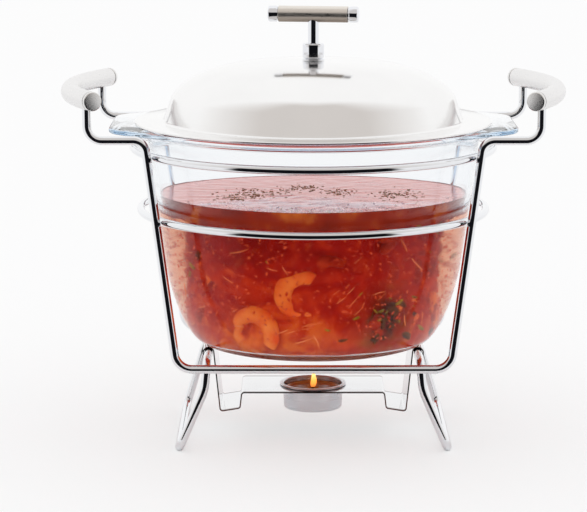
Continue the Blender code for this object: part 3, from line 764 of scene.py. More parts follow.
def frame_half_width(height):
    """Half distance between the two sides of a wire frame at a height."""
    share = (height - BAR_HEIGHT) / (SHELF_HEIGHT - BAR_HEIGHT)
    return BAR_HALF_WIDTH + (SHOULDER_HALF_WIDTH - BAR_HALF_WIDTH) * share


def wire_frame(name, depth, look):
    """One bent rod: riser, shelf, side, bottom bar and back up to the other riser."""
    right = [
        (RISER_HALF_WIDTH, RISER_TOP, 0.0),
        (RISER_HALF_WIDTH, SHELF_HEIGHT, RISER_BEND),
        (SHOULDER_HALF_WIDTH, SHELF_HEIGHT, SHOULDER_BEND),
        (BAR_HALF_WIDTH, BAR_HEIGHT, BAR_BEND),
    ]
    both = right + [(-x, z, bend) for x, z, bend in reversed(right)]
    path = rounded_path([(x, depth, z) for x, z, bend in both], [bend for x, z, bend in both])
    refine(name, rod_shell(path, ROD_RADIUS), look, "stand")


def support_ring(name, height, look):
    """Ring that lies against the inner side of both wire frames."""
    reach = math.hypot(frame_half_width(height), FRAME_DEPTH)
    radius = reach - ROD_RADIUS - RING_ROD_RADIUS - GAP
    path = [Vector((x, y, height)) for x, y in circle(radius, RING_STEPS)]
    refine(name, rod_shell(path, RING_ROD_RADIUS, closed=True), look, "stand")


def leg_loop(name, side, look):
    """Closed loop: bar across the top, rear arm, foot bar and front arm, with a flat under the foot."""
    top_depth = FRAME_DEPTH - 2 * ROD_RADIUS - GAP
    knee_share = (LEG_TOP_HEIGHT - LEG_KNEE_HEIGHT) / (LEG_TOP_HEIGHT - LEG_FOOT_HEIGHT)
    knee_depth = top_depth + (LEG_FOOT_DEPTH - top_depth) * knee_share
    corners = [
        (side * LEG_TOP_HALF_WIDTH, -top_depth, LEG_TOP_HEIGHT),
        (side * LEG_TOP_HALF_WIDTH, top_depth, LEG_TOP_HEIGHT),
        (side * LEG_REAR_KNEE_HALF_WIDTH, knee_depth, LEG_KNEE_HEIGHT),
        (side * LEG_FOOT_HALF_WIDTH, LEG_FOOT_DEPTH, LEG_FOOT_HEIGHT),
        (side * LEG_FOOT_HALF_WIDTH, -LEG_FOOT_DEPTH, LEG_FOOT_HEIGHT),
        (side * LEG_FRONT_KNEE_HALF_WIDTH, -knee_depth, LEG_KNEE_HEIGHT),
    ]
    bends = [LEG_TOP_BEND, LEG_TOP_BEND, LEG_KNEE_BEND, LEG_FOOT_BEND, LEG_FOOT_BEND, LEG_KNEE_BEND]
    shell = rod_shell(rounded_path(corners, bends, closed=True), ROD_RADIUS, closed=True)
    for vertex in shell.verts:
        vertex.co.z = max(vertex.co.z, 0.0)
    refine(name, shell, look, "stand")


def burner_strip(look):
    """Strip hooked over both leg loops, with a raised plate and a round hole for the tea light."""
    hook_radius = ROD_RADIUS + GAP + STRIP_THICKNESS / 2
    hook_side = LEG_TOP_HALF_WIDTH - hook_radius
    corners = [
        (0.0, 0.0, PLATE_HEIGHT),
        (PLATE_HALF_WIDTH, 0.0, PLATE_HEIGHT),
        (TROUGH_INNER_HALF_WIDTH, 0.0, TROUGH_INNER_HEIGHT),
        (TROUGH_OUTER_HALF_WIDTH, 0.0, TROUGH_OUTER_HEIGHT),
        (hook_side, 0.0, LEG_TOP_HEIGHT),
    ]
    half = rounded_path(corners, [0.0, STRIP_BEND, STRIP_BEND, STRIP_BEND, 0.0])
    for share in shares(HOOK_STEPS)[1:]:
        angle = math.pi + (HOOK_END_ANGLE - math.pi) * share
        x = LEG_TOP_HALF_WIDTH + hook_radius * math.cos(angle)
        half.append(Vector((x, 0.0, LEG_TOP_HEIGHT + hook_radius * math.sin(angle))))
    line = [Vector((-point.x, 0.0, point.z)) for point in half[:0:-1]] + half
    shell = bmesh.new()
    points = [shell.verts.new((point.x, -STRIP_HALF_DEPTH, point.z)) for point in line]
    edges = [shell.edges.new(pair) for pair in zip(points, points[1:])]
    made = bmesh.ops.extrude_edge_only(shell, edges=edges)
    moved = [item for item in made["geom"] if isinstance(item, bmesh.types.BMVert)]
    bmesh.ops.translate(shell, verts=moved, vec=(0, 2 * STRIP_HALF_DEPTH, 0))
    strip = refine("burner_strip", shell, look, "stand")
    sheet = strip.modifiers.new("sheet", "SOLIDIFY")
    sheet.thickness = STRIP_THICKNESS
    sheet.offset = 0.0
    sheet.use_even_offset = True
    drop = PLATE_HEIGHT - TROUGH_INNER_HEIGHT
    cut(strip, plain_cylinder(BURNER_HOLE_RADIUS, PLATE_HEIGHT - drop, PLATE_HEIGHT + drop))


def grip_arc():
    """Radius of the arc through both risers and the outermost point of a grip, and its centre's X."""
    bow = GRIP_MIDDLE_HALF_WIDTH - RISER_HALF_WIDTH
    radius = (FRAME_DEPTH ** 2 + bow ** 2) / (2 * bow)
    return radius, GRIP_MIDDLE_HALF_WIDTH - radius


def grip_tube(name, side, look):
    """Curved tube with a hole from below for each riser."""
    radius, centre = grip_arc()
    widest = math.asin(GRIP_TUBE_DEPTH / radius)
    path = []
    for share in shares(GRIP_STEPS):
        angle = -widest + 2 * widest * share
        x = side * (centre + radius * math.cos(angle))
        path.append(Vector((x, radius * math.sin(angle), GRIP_HEIGHT)))
    shell = rod_shell(path, GRIP_RADIUS, roundness=GRIP_ROUNDNESS)
    made = refine(name, shell, look, "stand")
    longer = [path[0] * 2 - path[1], *path, path[-1] * 2 - path[-2]]
    cut(made, rod_shell(longer, GRIP_BORE, roundness=GRIP_ROUNDNESS))
    for depth in (-FRAME_DEPTH, FRAME_DEPTH):
        placed = Matrix.Translation((side * RISER_HALF_WIDTH, depth, 0))
        cut(made, plain_cylinder(ROD_RADIUS + GAP, GRIP_HEIGHT - 2 * GRIP_RADIUS, GRIP_HEIGHT, placed=placed))


def grip_cap(name, side, end, look):
    """Flat disc with a rounded edge and a plug that sits in the tube."""
    radius, centre = grip_arc()
    angle = math.asin(GRIP_TUBE_DEPTH / radius)
    spot = Vector((side * (centre + radius * math.cos(angle)), end * GRIP_TUBE_DEPTH, GRIP_HEIGHT))
    heading = Vector((-side * math.sin(angle), end * math.cos(angle), 0))
    turn = heading.to_track_quat("Z", "Y").to_matrix().to_4x4()
    plug = GRIP_BORE - GAP
    top = GAP + GRIP_CAP_THICKNESS
    edge = GRIP_CAP_ROUNDING
    neck = GRIP_RADIUS - GRIP_CAP_GROOVE
    profile = [(0.0, -GRIP_CAP_PLUG), (plug, -GRIP_CAP_PLUG), (plug, GAP), (neck, GAP)]
    profile += [(neck, GRIP_CAP_GROOVE), (GRIP_RADIUS, GAP + GRIP_CAP_GROOVE)]
    profile += arc_points((GRIP_RADIUS - edge, top - edge), edge, 0.0, 90.0)
    profile += [(0.0, top)]
    shell = turned_shell(profile, placed=Matrix.Translation(spot) @ turn)
    refine(name, shell, look, "stand")


# Glass bowl

def wall_radius(height):
    """Outer radius of the straight upper wall of the bowl."""
    return BOWL_SHOULDER_RADIUS + BOWL_LEAN * (height - BOWL_SHOULDER_HEIGHT)


def bowl_wall(inset, floor_height):
    """Outer or inner side of the bowl from its flat bottom up to the shoulder, as (radius, height) points."""
    corner_height = BOWL_SHOULDER_HEIGHT - floor_height
    points = []
    for share in shares(BOWL_CURVE_STEPS):
        angle = math.pi / 2 * share
        out_share = math.sin(angle) ** (2 / BOWL_CORNER_POWER)
        down_share = math.cos(angle) ** (2 / BOWL_CORNER_POWER)
        height = BOWL_SHOULDER_HEIGHT - corner_height * down_share
        flat = BOWL_SHOULDER_RADIUS - BOWL_CORNER_WIDTH
        radius = flat + BOWL_CORNER_WIDTH * out_share + BOWL_LEAN * (height - BOWL_SHOULDER_HEIGHT) - inset
        points.append((radius, height))
    return points


def rim_reach(angle):
    """Distance from the axis to the outer edge of the rim or its lugs in a direction."""
    across = abs(math.cos(angle))
    along = abs(math.sin(angle))
    lug_reach = BOWL_RIM_RADIUS + LUG_STAND_OUT
    corner = Vector((lug_reach - LUG_CORNER_RADIUS, LUG_CORNER_DEPTH))
    tangent = math.atan2(corner.y, corner.x)
    tangent += math.acos((BOWL_RIM_RADIUS - LUG_CORNER_RADIUS) / corner.length)
    bearing = math.atan2(along, across)
    if bearing >= tangent:
        return BOWL_RIM_RADIUS
    reach = BOWL_RIM_RADIUS / math.cos(bearing - tangent)
    if across > 0.0:
        reach = min(reach, lug_reach / across)
    offset = Vector((reach * across, reach * along)) - corner
    if 0.0 < math.atan2(offset.y, offset.x) < tangent:
        middle = corner.x * across + corner.y * along
        reach = middle + math.sqrt(middle ** 2 - corner.length_squared + LUG_CORNER_RADIUS ** 2)
    return reach


def glass_bowl(look):
    """Bowl, rim and lugs in one piece of glass, as rings of points at shared bearings."""
    inner_floor = BOWL_BASE_HEIGHT + BOWL_FLOOR
    edge = BOWL_RIM_ROUNDING
    mouth = wall_radius(BOWL_RIM_TOP) - BOWL_WALL
    inside = [(0.0, inner_floor), *bowl_wall(BOWL_WALL, inner_floor)]
    inside += arc_points((mouth + edge, BOWL_RIM_TOP - edge), edge, 180.0, 90.0)
    rim = arc_points((-edge, BOWL_RIM_TOP - edge), edge, 90.0, 0.0)
    rim += arc_points((-edge, BOWL_RIM_BOTTOM + edge), edge, 0.0, -90.0)
    outside = []
    for share in shares(EDGE_STEPS):
        angle = math.pi / 2 * share
        height = BOWL_RIM_BOTTOM - BOWL_RIM_FILLET * (1 - math.cos(angle))
        outside.append((wall_radius(height) + BOWL_RIM_FILLET * (1 - math.sin(angle)), height))
    outside += [*bowl_wall(0.0, BOWL_BASE_HEIGHT)[::-1], (0.0, BOWL_BASE_HEIGHT)]
    shell = bmesh.new()
    rings = []
    # On the rim, the radii are counted from its outer edge, which reaches further out at the lugs
    for points, on_rim in ((inside, False), (rim, True), (outside, False)):
        for radius, height in points:
            if radius == 0.0 and not on_rim:
                rings.append([shell.verts.new((0, 0, height))] * BOWL_STEPS)
                continue
            ring = []
            for k in range(BOWL_STEPS):
                bearing = math.tau * k / BOWL_STEPS
                reach = rim_reach(bearing) + radius if on_rim else radius
                ring.append(shell.verts.new((reach * math.cos(bearing), reach * math.sin(bearing), height)))
            rings.append(ring)
    join_rings(shell, rings)
    refine("glass_bowl", shell, look, "bowl")


# Lid and knob

def dome(inset):
    """Dome from the knob hole out to where it is as steep as the band, as (radius, height) points."""
    rise = LID_TOP_HEIGHT - LID_BAND_TOP_HEIGHT
    reach = LID_BAND_TOP_RADIUS - inset
    points = [(LID_HOLE_RADIUS, LID_TOP_HEIGHT - inset)]
    for share in shares(DOME_CURVE_STEPS):
        out_share = math.sin(math.pi / 2 * DOME_END_SHARE * share)
        up_share = (1 - out_share ** DOME_INNER_POWER) ** (1 / DOME_OUTER_POWER)
        radius = reach * out_share
        if radius > LID_HOLE_RADIUS:
            points.append((radius, LID_BAND_TOP_HEIGHT + rise * up_share - inset))
    return points


def band_foot(dome_edge, corner, fillet):
    """Arc where the band turns out into the flat flange, as (radius, height) points."""
    corners = [(*dome_edge, 0.0), (*corner, 0.0), (BOWL_RIM_RADIUS, corner[1], 0.0)]
    return [(point.x, point.y) for point in rounded_path(corners, [0.0, fillet, 0.0])[1:-1]]


def lid_shell(look):
    """Dome, straight band, flat flange on the glass rim and a lip inside the mouth of the bowl."""
    flange_bottom = BOWL_RIM_TOP + GAP
    flange_top = flange_bottom + LID_SHEET
    lip_bottom = flange_bottom - LID_LIP_DEPTH
    edge = LID_SHEET / 2
    outside = dome(0.0)
    inside = dome(LID_SHEET)
    profile = outside + band_foot(outside[-1], (LID_BAND_BOTTOM_RADIUS, flange_top), LID_FILLET)
    profile += arc_points((BOWL_RIM_RADIUS - edge, flange_bottom + edge), edge, 90.0, -90.0)
    profile.append((LID_LIP_RADIUS, flange_bottom))
    profile += arc_points((LID_LIP_RADIUS - edge, lip_bottom + edge), edge, 0.0, -180.0)
    profile.append((LID_LIP_RADIUS - LID_SHEET, flange_bottom))
    foot = band_foot(inside[-1], (LID_BAND_BOTTOM_RADIUS - LID_SHEET, flange_bottom), LID_FILLET + LID_SHEET)
    profile += foot[::-1] + inside[::-1]
    refine("lid_shell", turned_shell(profile, steps=LID_STEPS), look, "lid")


def knob(look):
    """Washer, collar and post on the axis of the lid."""
    bore = STUD_RADIUS + GAP
    bottom = LID_TOP_HEIGHT + GAP
    top = bottom + WASHER_THICKNESS
    washer = [(bore, bottom), *rounded_side(WASHER_RADIUS, bottom, top, WASHER_ROUNDING), (bore, top)]
    refine("knob_washer", turned_shell(washer), look, "lid")
    bottom = top + GAP
    top = LID_TOP_HEIGHT + COLLAR_TOP_ABOVE_LID
    dish = top - COLLAR_DISH
    collar = [(bore, bottom), *rounded_side(COLLAR_RADIUS, bottom, top, COLLAR_ROUNDING)]
    collar += [(POST_RADIUS + COLLAR_DISH, top), (POST_RADIUS + GAP, dish), (bore, dish)]
    refine("knob_collar", turned_shell(collar), look, "lid")
    bottom = dish + GAP
    top = LID_TOP_HEIGHT + CROSSBAR_ABOVE_LID - CORE_RADIUS - GAP
    stud_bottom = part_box("knob_post")[0].z
    post = [(0.0, stud_bottom), (STUD_RADIUS, stud_bottom), (STUD_RADIUS, bottom)]
    post += [(POST_RADIUS, bottom), (POST_RADIUS, top), (0.0, top)]
    refine("knob_post", turned_shell(post), look, "lid")


def crossbar(bright, satin):
    """Satin sleeve and two bright caps, turned a little about the axis of the lid."""
    lie_down = Matrix.Rotation(math.pi / 2, 4, "Y")
    height = LID_TOP_HEIGHT + CROSSBAR_ABOVE_LID
    placed = Matrix.Translation((0, 0, height)) @ Matrix.Rotation(CROSSBAR_TURN, 4, "Z") @ lie_down
    bore = CORE_RADIUS + GAP
    start = CROSSBAR_HALF_LENGTH - CROSSBAR_CAP_LENGTH
    end = start - GAP
    groove = CROSSBAR_CAP_GROOVE
    edge = groove / 2
    sleeve = [(bore, -end), *rounded_side(CROSSBAR_RADIUS, -end, end, edge), (bore, end)]
    made = refine("crossbar_sleeve", turned_shell(sleeve, placed=placed), satin, "lid")
    cut(made, plain_cylinder(POST_RADIUS + GAP, height - 2 * CROSSBAR_RADIUS, height))
    neck = CROSSBAR_RADIUS - groove
    rounding = CROSSBAR_CAP_ROUNDING
    inside = CROSSBAR_HALF_LENGTH - CORE_INSET + GAP
    cap = [(bore, start), (neck, start), (neck, start + groove)]
    cap += [(CROSSBAR_RADIUS - edge, start + groove), (CROSSBAR_RADIUS, start + 2 * groove)]
    cap += arc_points((CROSSBAR_RADIUS - rounding, CROSSBAR_HALF_LENGTH - rounding), rounding, 0.0, 90.0)
    cap += [(0.0, CROSSBAR_HALF_LENGTH), (0.0, inside), (bore, inside)]
    for name, half_turn in (("crossbar_right_cap", 0.0), ("crossbar_left_cap", math.pi)):
        turn = Matrix.Rotation(half_turn, 4, "Y")
        refine(name, turned_shell(cap, placed=placed @ turn), bright, "lid")


# Tea light

def cup(look):
    """Pressed foil cup with a rounded bottom corner and a rolled edge."""
    edge_bottom = PLATE_HEIGHT + STRIP_THICKNESS / 2 + GAP
    floor_top = CUP_BOTTOM_HEIGHT + CUP_SHEET
    corner = (CUP_BOTTOM_RADIUS - CUP_CORNER_RADIUS, CUP_BOTTOM_HEIGHT + CUP_CORNER_RADIUS)
    profile = [(0.0, CUP_BOTTOM_HEIGHT), *arc_points(corner, CUP_CORNER_RADIUS, -90.0, 0.0)]
    profile.append((CUP_TOP_RADIUS, edge_bottom))
    profile += arc_points((CUP_EDGE_RADIUS - CUP_SHEET, edge_bottom + CUP_SHEET), CUP_SHEET, -90.0, 90.0)
    profile += [(CUP_TOP_RADIUS, edge_bottom + 2 * CUP_SHEET)]
    profile += [(CUP_TOP_RADIUS - CUP_SHEET, edge_bottom + CUP_SHEET)]
    profile += [(CUP_BOTTOM_RADIUS - CUP_SHEET, floor_top), (0.0, floor_top)]
    refine("tealight_cup", turned_shell(profile, steps=CUP_STEPS), look, "tealight")


def molten_wax(look):
    """Wax with a small rise at the cup and a dip at the wick."""
    inside = CUP_BOTTOM_RADIUS - CUP_SHEET - GAP
    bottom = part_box("tealight_wax")[0].z
    climb = 4 * GAP
    bore = WICK_RADIUS + GAP
    profile = [(bore, bottom), (inside, bottom), (inside, WAX_TOP + climb)]
    profile += [(inside - climb, WAX_TOP), (bore + climb, WAX_TOP - GAP), (bore, WAX_TOP)]
    refine("tealight_wax", turned_shell(profile), look, "tealight")


def flame(look):
    """Slim flame that bows a little to one side."""
    profile = [(0.0, FLAME_BASE)]
    for share in shares(FLAME_STEPS)[1:-1]:
        bulge = math.sin(math.pi * share ** FLAME_LOW_POWER) ** FLAME_BULGE_POWER
        profile.append((FLAME_RADIUS * bulge, FLAME_BASE + (FLAME_TOP - FLAME_BASE) * share))
    profile.append((0.0, FLAME_TOP))
    shell = turned_shell(profile)
    for vertex in shell.verts:
        share = (vertex.co.z - FLAME_BASE) / (FLAME_TOP - FLAME_BASE)
        vertex.co.x += FLAME_RADIUS * FLAME_LEAN_SHARE * math.sin(share * math.pi)
    add_piece("flame", shell, look, "tealight")


# Soup

def inner_radius(height):
    """Inner radius of the bowl at a height."""
    if height >= BOWL_SHOULDER_HEIGHT:
        return wall_radius(height) - BOWL_WALL
    points = bowl_wall(BOWL_WALL, BOWL_BASE_HEIGHT + BOWL_FLOOR)
    for (inside, below), (outside, above) in zip(points, points[1:]):
        if below <= height <= above:
            return inside + (outside - inside) * (height - below) / (above - below)
    return 0.0


def level_surface(radius, height):
    """Points across a level surface from a radius in to the axis, as (radius, height) points."""
    return [(radius * (1 - share), height) for share in shares(SURFACE_RINGS)[1:]]


def soup(look):
    """Broth that fills the bowl to just over the middle, with a small rise at the glass."""
    floor_height = BOWL_BASE_HEIGHT + BOWL_FLOOR - SOUP_OVERLAP
    bottom = floor_height + SOUP_LIFT
    profile = [(0.0, bottom), (inner_radius(bottom) + SOUP_OVERLAP, bottom)]
    profile += [point for point in bowl_wall(BOWL_WALL - SOUP_OVERLAP, floor_height) if point[1] > bottom]
    wall = inner_radius(SOUP_TOP) + SOUP_OVERLAP
    for share in shares(EDGE_STEPS):
        profile.append((wall - MENISCUS_REACH * share, SOUP_TOP + MENISCUS * (1 - share) ** 2))
    profile += level_surface(wall - MENISCUS_REACH, SOUP_TOP)
    add_piece("soup", turned_shell(profile, steps=SOUP_STEPS), look, "bowl")


def soup_skin(look):
    """Thin fatty layer on top of the broth, gently uneven."""
    wall = inner_radius(SOUP_TOP) - SKIN_INSET
    top = SOUP_TOP + GAP
    profile = [(0.0, top - SKIN_THICKNESS), (wall - SKIN_THICKNESS, top - SKIN_THICKNESS), (wall, top)]
    shell = turned_shell(profile + level_surface(wall, top), steps=SOUP_STEPS)
    for vertex in shell.verts:
        if vertex.co.z > SOUP_TOP and vertex.co.xy.length < wall - SKIN_INSET:
            vertex.co.z += GAP * noise.noise(vertex.co / SKIN_RIPPLE)
    add_piece("soup_skin", shell, look, "bowl")


def fat_ring(look):
    """Orange-brown fat and pulp gathered against the glass just below the surface."""
    low = SOUP_TOP - FAT_RING_HEIGHT
    profile = []
    for share in shares(EDGE_STEPS):
        height = low + (SOUP_TOP + MENISCUS / 2 - low) * share
        profile.append((inner_radius(height) - FAT_RING_INSET, height))
    profile += [(radius - FAT_RING_INSET, height) for radius, height in profile[::-1]]
    shell = turned_shell(profile, steps=SOUP_STEPS)
    for vertex in shell.verts:
        share = 1 - (vertex.co.z - low) / FAT_RING_HEIGHT
        flat = Vector((vertex.co.x, vertex.co.y, 0.0))
        vertex.co.z -= max(share, 0.0) * MENISCUS * (1 + 2 * noise.noise(flat / SKIN_RIPPLE))
    add_piece("soup_edge", shell, look, "bowl")


def soup_cloud(look):
    """Cloudy middle of the soup, thick with pulp, uneven all round."""
    bottom = BOWL_BASE_HEIGHT + BOWL_FLOOR + SOUP_LIFT + 2 * GAP
    top = SOUP_TOP - CLOUD_BELOW_TOP
    profile = [(0.0, bottom)]
    for share in shares(CLOUD_RINGS):
        round_off = CLOUD_ROUNDING * max(1 - 2 * share, 0.0) ** CLOUD_END_POWER
        height = bottom + (top - bottom) * (1 - math.cos(math.pi * share)) / 2
        profile.append((CLOUD_RADIUS - round_off, height))
    profile.append((0.0, top))
    shell = turned_shell(profile, steps=SOUP_STEPS)
    for vertex in shell.verts:
        if bottom < vertex.co.z < top:
            swell = noise.fractal(vertex.co / CLOUD_LUMP, 1.0, 2.0, 3)
            outward = Vector((vertex.co.x, vertex.co.y, 0.0)).normalized()
            vertex.co += outward * CLOUD_SWELL * swell
    add_piece("soup_cloud", shell, look, "bowl")


def in_soup(across, height, proud):
    """Point in front of the cloudy middle, some way out from its face."""
    return Vector((across, -math.sqrt(max((CLOUD_RADIUS + proud) ** 2 - across ** 2, 0.0)), height))


def facing_out(spot):
    """Turn that brings a piece modelled to face the front round to face outwards at a point."""
    return Matrix.Rotation(math.atan2(spot.x, -spot.y), 4, "Z")


def shrimp(name, spot, roll, look, size):
    """Curled shrimp tail: a tapering arc with segment ridges and a flat fan at its end."""
    shell = bmesh.new()
    rings = []
    for share in shares(SHRIMP_RINGS):
        angle = SHRIMP_START + SHRIMP_SWEEP * share
        bend = SHRIMP_BEND_RADIUS * size * (1 - SHRIMP_CURL_SHARE * share)
        body_share = min(SHRIMP_HEAD_SHARE + SHRIMP_BODY_SHARE * share, 1.0)
        thick = SHRIMP_THICKNESS * size * math.sin(math.pi * body_share) ** SHRIMP_BODY_POWER
        thick *= 1 - SHRIMP_TAPER_SHARE * share ** 2
        thick *= 1 + SHRIMP_RIDGE_SHARE * abs(math.sin(share * math.pi * SHRIMP_SEGMENTS))
        fan = 1 + SHRIMP_FAN_GROWTH * max(share + SHRIMP_FAN_SHARE - 1, 0.0) / SHRIMP_FAN_SHARE
        outward = Vector((math.cos(angle), 0.0, math.sin(angle)))
        ring = []
        for x, y in circle(thick, SHRIMP_SIDES):
            sideways = Vector((0.0, SHRIMP_WIDTH_SHARE * y / fan, 0.0))
            ring.append(shell.verts.new(outward * (bend + x * fan) + sideways))
        rings.append(ring)
    join_rings(shell, rings)
    shell.faces.new(rings[0])
    shell.faces.new(rings[-1])
    shell.transform(Matrix.Translation(spot) @ facing_out(spot) @ Matrix.Rotation(roll, 4, "Y"))
    add_piece(name, shell, look, "bowl")


def add_bit(shell, index, matrix, lump=0.0, bend=0.0, fineness=2):
    """One ball in a bmesh, made lumpy, bent, stretched and placed."""
    grown = bmesh.ops.create_icosphere(shell, subdivisions=fineness, radius=1.0)["verts"]
    for vertex in grown:
        vertex.co *= 1 + lump * noise.noise(vertex.co * BIT_NOISE_SCALE + Vector((index, 0, 0)))
        vertex.co.z += bend * vertex.co.x ** 2
    bmesh.ops.transform(shell, matrix=matrix, verts=grown)


def crumbs(name, look, draw, spots, lengths, slim, curl, fineness=2, lean=0.0, turn=math.pi):
    """Many bent bits in one piece, each turned by up to an angle either side of a lean."""
    shell = bmesh.new()
    for index, spot in enumerate(spots):
        length = draw.uniform(*lengths)
        width = length * slim
        scale = Matrix.Diagonal((length, width, width * draw.uniform(*BIT_THICKNESS_SHARES), 1.0))
        spin = Matrix.Rotation(lean + draw.uniform(-turn, turn), 4, "Y")
        spin = spin @ Matrix.Rotation(draw.gauss(0.0, BIT_TILT), 4, "Z")
        matrix = Matrix.Translation(spot) @ facing_out(spot) @ spin @ scale
        add_bit(shell, index, matrix, BIT_LUMP_SHARE, curl / slim, fineness)
    add_piece(name, shell, look, "bowl")


def spread(draw, count, highest, nearest, deepest):
    """Points all round the soup up to a height and between two distances out from the cloudy middle."""
    spots = []
    for _ in range(count):
        height = draw.uniform(BITS_LOWEST, highest)
        bearing = draw.uniform(0.0, math.tau)
        reach = CLOUD_RADIUS + draw.uniform(deepest, nearest)
        reach = min(reach, inner_radius(height) - SHRIMP_THICKNESS / 2)
        spots.append(Vector((reach * math.cos(bearing), reach * math.sin(bearing), height)))
    return spots


def cluster(draw, count, across, height, size, nearest, deepest):
    """Points gathered in front round one place in the soup."""
    spots = []
    for _ in range(count):
        x = across + draw.gauss(0.0, size)
        z = max(height + draw.gauss(0.0, size * CLUSTER_HEIGHT_SHARE), BITS_LOWEST)
        spots.append(in_soup(x, z, draw.uniform(deepest, nearest)))
    return spots


def garnish(looks):
    """Shrimps, soft lumps, threads and greens, most of them at the face of the cloudy middle."""
    draw = random.Random(SEED)
    for name, across, height, roll, size in FRONT_SHRIMPS:
        shrimp(name, in_soup(across, height, -SHRIMP_SUNK), math.radians(roll), looks["shrimp"], size)
    reach = CLOUD_RADIUS - SHRIMP_THICKNESS / 2
    for index, degrees in enumerate(SHRIMP_BEARINGS):
        bearing = math.radians(degrees)
        height = draw.uniform(SHRIMP_LOWEST, SHRIMP_HIGHEST)
        spot = Vector((reach * math.sin(bearing), reach * math.cos(bearing), height))
        roll = draw.uniform(0.0, math.tau)
        shrimp(f"shrimp_{index}", spot, roll, looks["shrimp"], draw.uniform(*SHRIMP_SIZE_SHARES))
    for name, look, lengths, slim, curl, settings, places in BITS:
        spots = []
        for numbers in places:
            gather = spread if len(numbers) == 4 else cluster
            spots += gather(draw, *numbers)
        crumbs(name, looks[look], draw, spots, lengths, slim, curl, **settings)


def herbs(look):
    """Chopped herb leaves that float in a few clusters on the soup."""
    draw = random.Random(SEED + 1)
    shell = bmesh.new()
    for x, y, size, count in HERB_CLUSTERS:
        for index in range(count):
            spot = (x + draw.gauss(0, size), y + draw.gauss(0, HERB_ALONG_SHARE * size), SOUP_TOP + GAP)
            length = draw.uniform(*HERB_LENGTHS)
            scale = Matrix.Diagonal((length, length * draw.uniform(*HERB_WIDTH_SHARES), GAP, 1.0))
            spin = Matrix.Rotation(draw.uniform(0, math.tau), 4, "Z")
            add_bit(shell, index, Matrix.Translation(spot) @ spin @ scale, HERB_LUMP_SHARE)
    add_piece("herbs", shell, look, "bowl")


def foam(look):
    """Fine bubbles gathered on the front of the surface."""
    draw = random.Random(SEED + 2)
    shell = bmesh.new()
    wall = inner_radius(SOUP_TOP) - FOAM_INSET
    for index in range(FOAM_COUNT):
        bearing = draw.gauss(0.0, FOAM_HALF_ANGLE)
        reach = wall - abs(draw.gauss(0.0, FOAM_DEPTH))
        spot = (reach * math.sin(bearing), -reach * math.cos(bearing), SOUP_TOP + GAP)
        size = draw.uniform(*FOAM_SIZES)
        scale = Matrix.Diagonal((size, size, size * FOAM_FLAT_SHARE, 1.0))
        add_bit(shell, index, Matrix.Translation(spot) @ scale)
    add_piece("foam", shell, look, "bowl")


# Studio

def reflected_share(tree):
    """1 for rays that a shiny surface has thrown back, else 0."""
    rays = add(tree, "ShaderNodeLightPath").outputs
    shiny = calculate(tree, "GREATER_THAN", rays["Glossy Depth"], ANY_BOUNCE)
    direct = calculate(tree, "LESS_THAN", rays["Diffuse Depth"], ANY_BOUNCE)
    return calculate(tree, "MULTIPLY", shiny, direct)


def front_share(tree, towards, half_azimuth, edge):
    """1 towards the front within an azimuth, fading to 0 past it."""
    ahead = calculate(tree, "MULTIPLY", towards["Y"], -1.0)
    azimuth = calculate(tree, "ABSOLUTE", calculate(tree, "ARCTAN2", towards["X"], ahead))
    return ranged(tree, azimuth, 1.0, 0.0, half_azimuth - edge, half_azimuth + edge)


def opening_colour(tree):
    """Near black, or pale blue in reflections that glass passes on."""
    rays = add(tree, "ShaderNodeLightPath").outputs
    through_glass = calculate(tree, "GREATER_THAN", rays["Transmission Depth"], ANY_BOUNCE)
    return mixed(tree, through_glass, DARK_COLOUR, GLASS_DARK_COLOUR)


def floor():
    """Plain white floor; reflections of it are dark in front of the object, as past the end of a table."""
    shell = bmesh.new()
    corners = [(x * FLOOR_REACH, y * FLOOR_REACH, 0.0) for x, y in ((-1, -1), (1, -1), (1, 1), (-1, 1))]
    shell.faces.new([shell.verts.new(corner) for corner in corners])
    mesh = mesh_from("floor", shell)
    made = shown("floor", mesh)
    look, tree, shader = principled("floor", FLOOR_COLOUR, Roughness=1.0, Specular_IOR_Level=0.0)
    spot = axes(tree, place(tree))
    past_end = calculate(tree, "LESS_THAN", spot["Y"], DARK_FLOOR_FRONT)
    dark = calculate(tree, "MULTIPLY", past_end, front_share(tree, spot, DARK_HALF_AZIMUTH, DARK_EDGE))
    dark = calculate(tree, "MULTIPLY", dark, reflected_share(tree))
    rays = add(tree, "ShaderNodeLightPath").outputs
    glow = calculate(tree, "MULTIPLY", rays["Is Camera Ray"], FLOOR_GLOW_SHARE)
    lit = add(tree, "ShaderNodeEmission", {"Color": WHITE}).outputs["Emission"]
    hidden = add(tree, "ShaderNodeEmission", {"Color": opening_colour(tree)}).outputs["Emission"]
    surface = blended(tree, dark, blended(tree, glow, shader.outputs["BSDF"], lit), hidden)
    feed(tree.nodes["Material Output"], {"Surface": surface})
    mesh.materials.append(look)


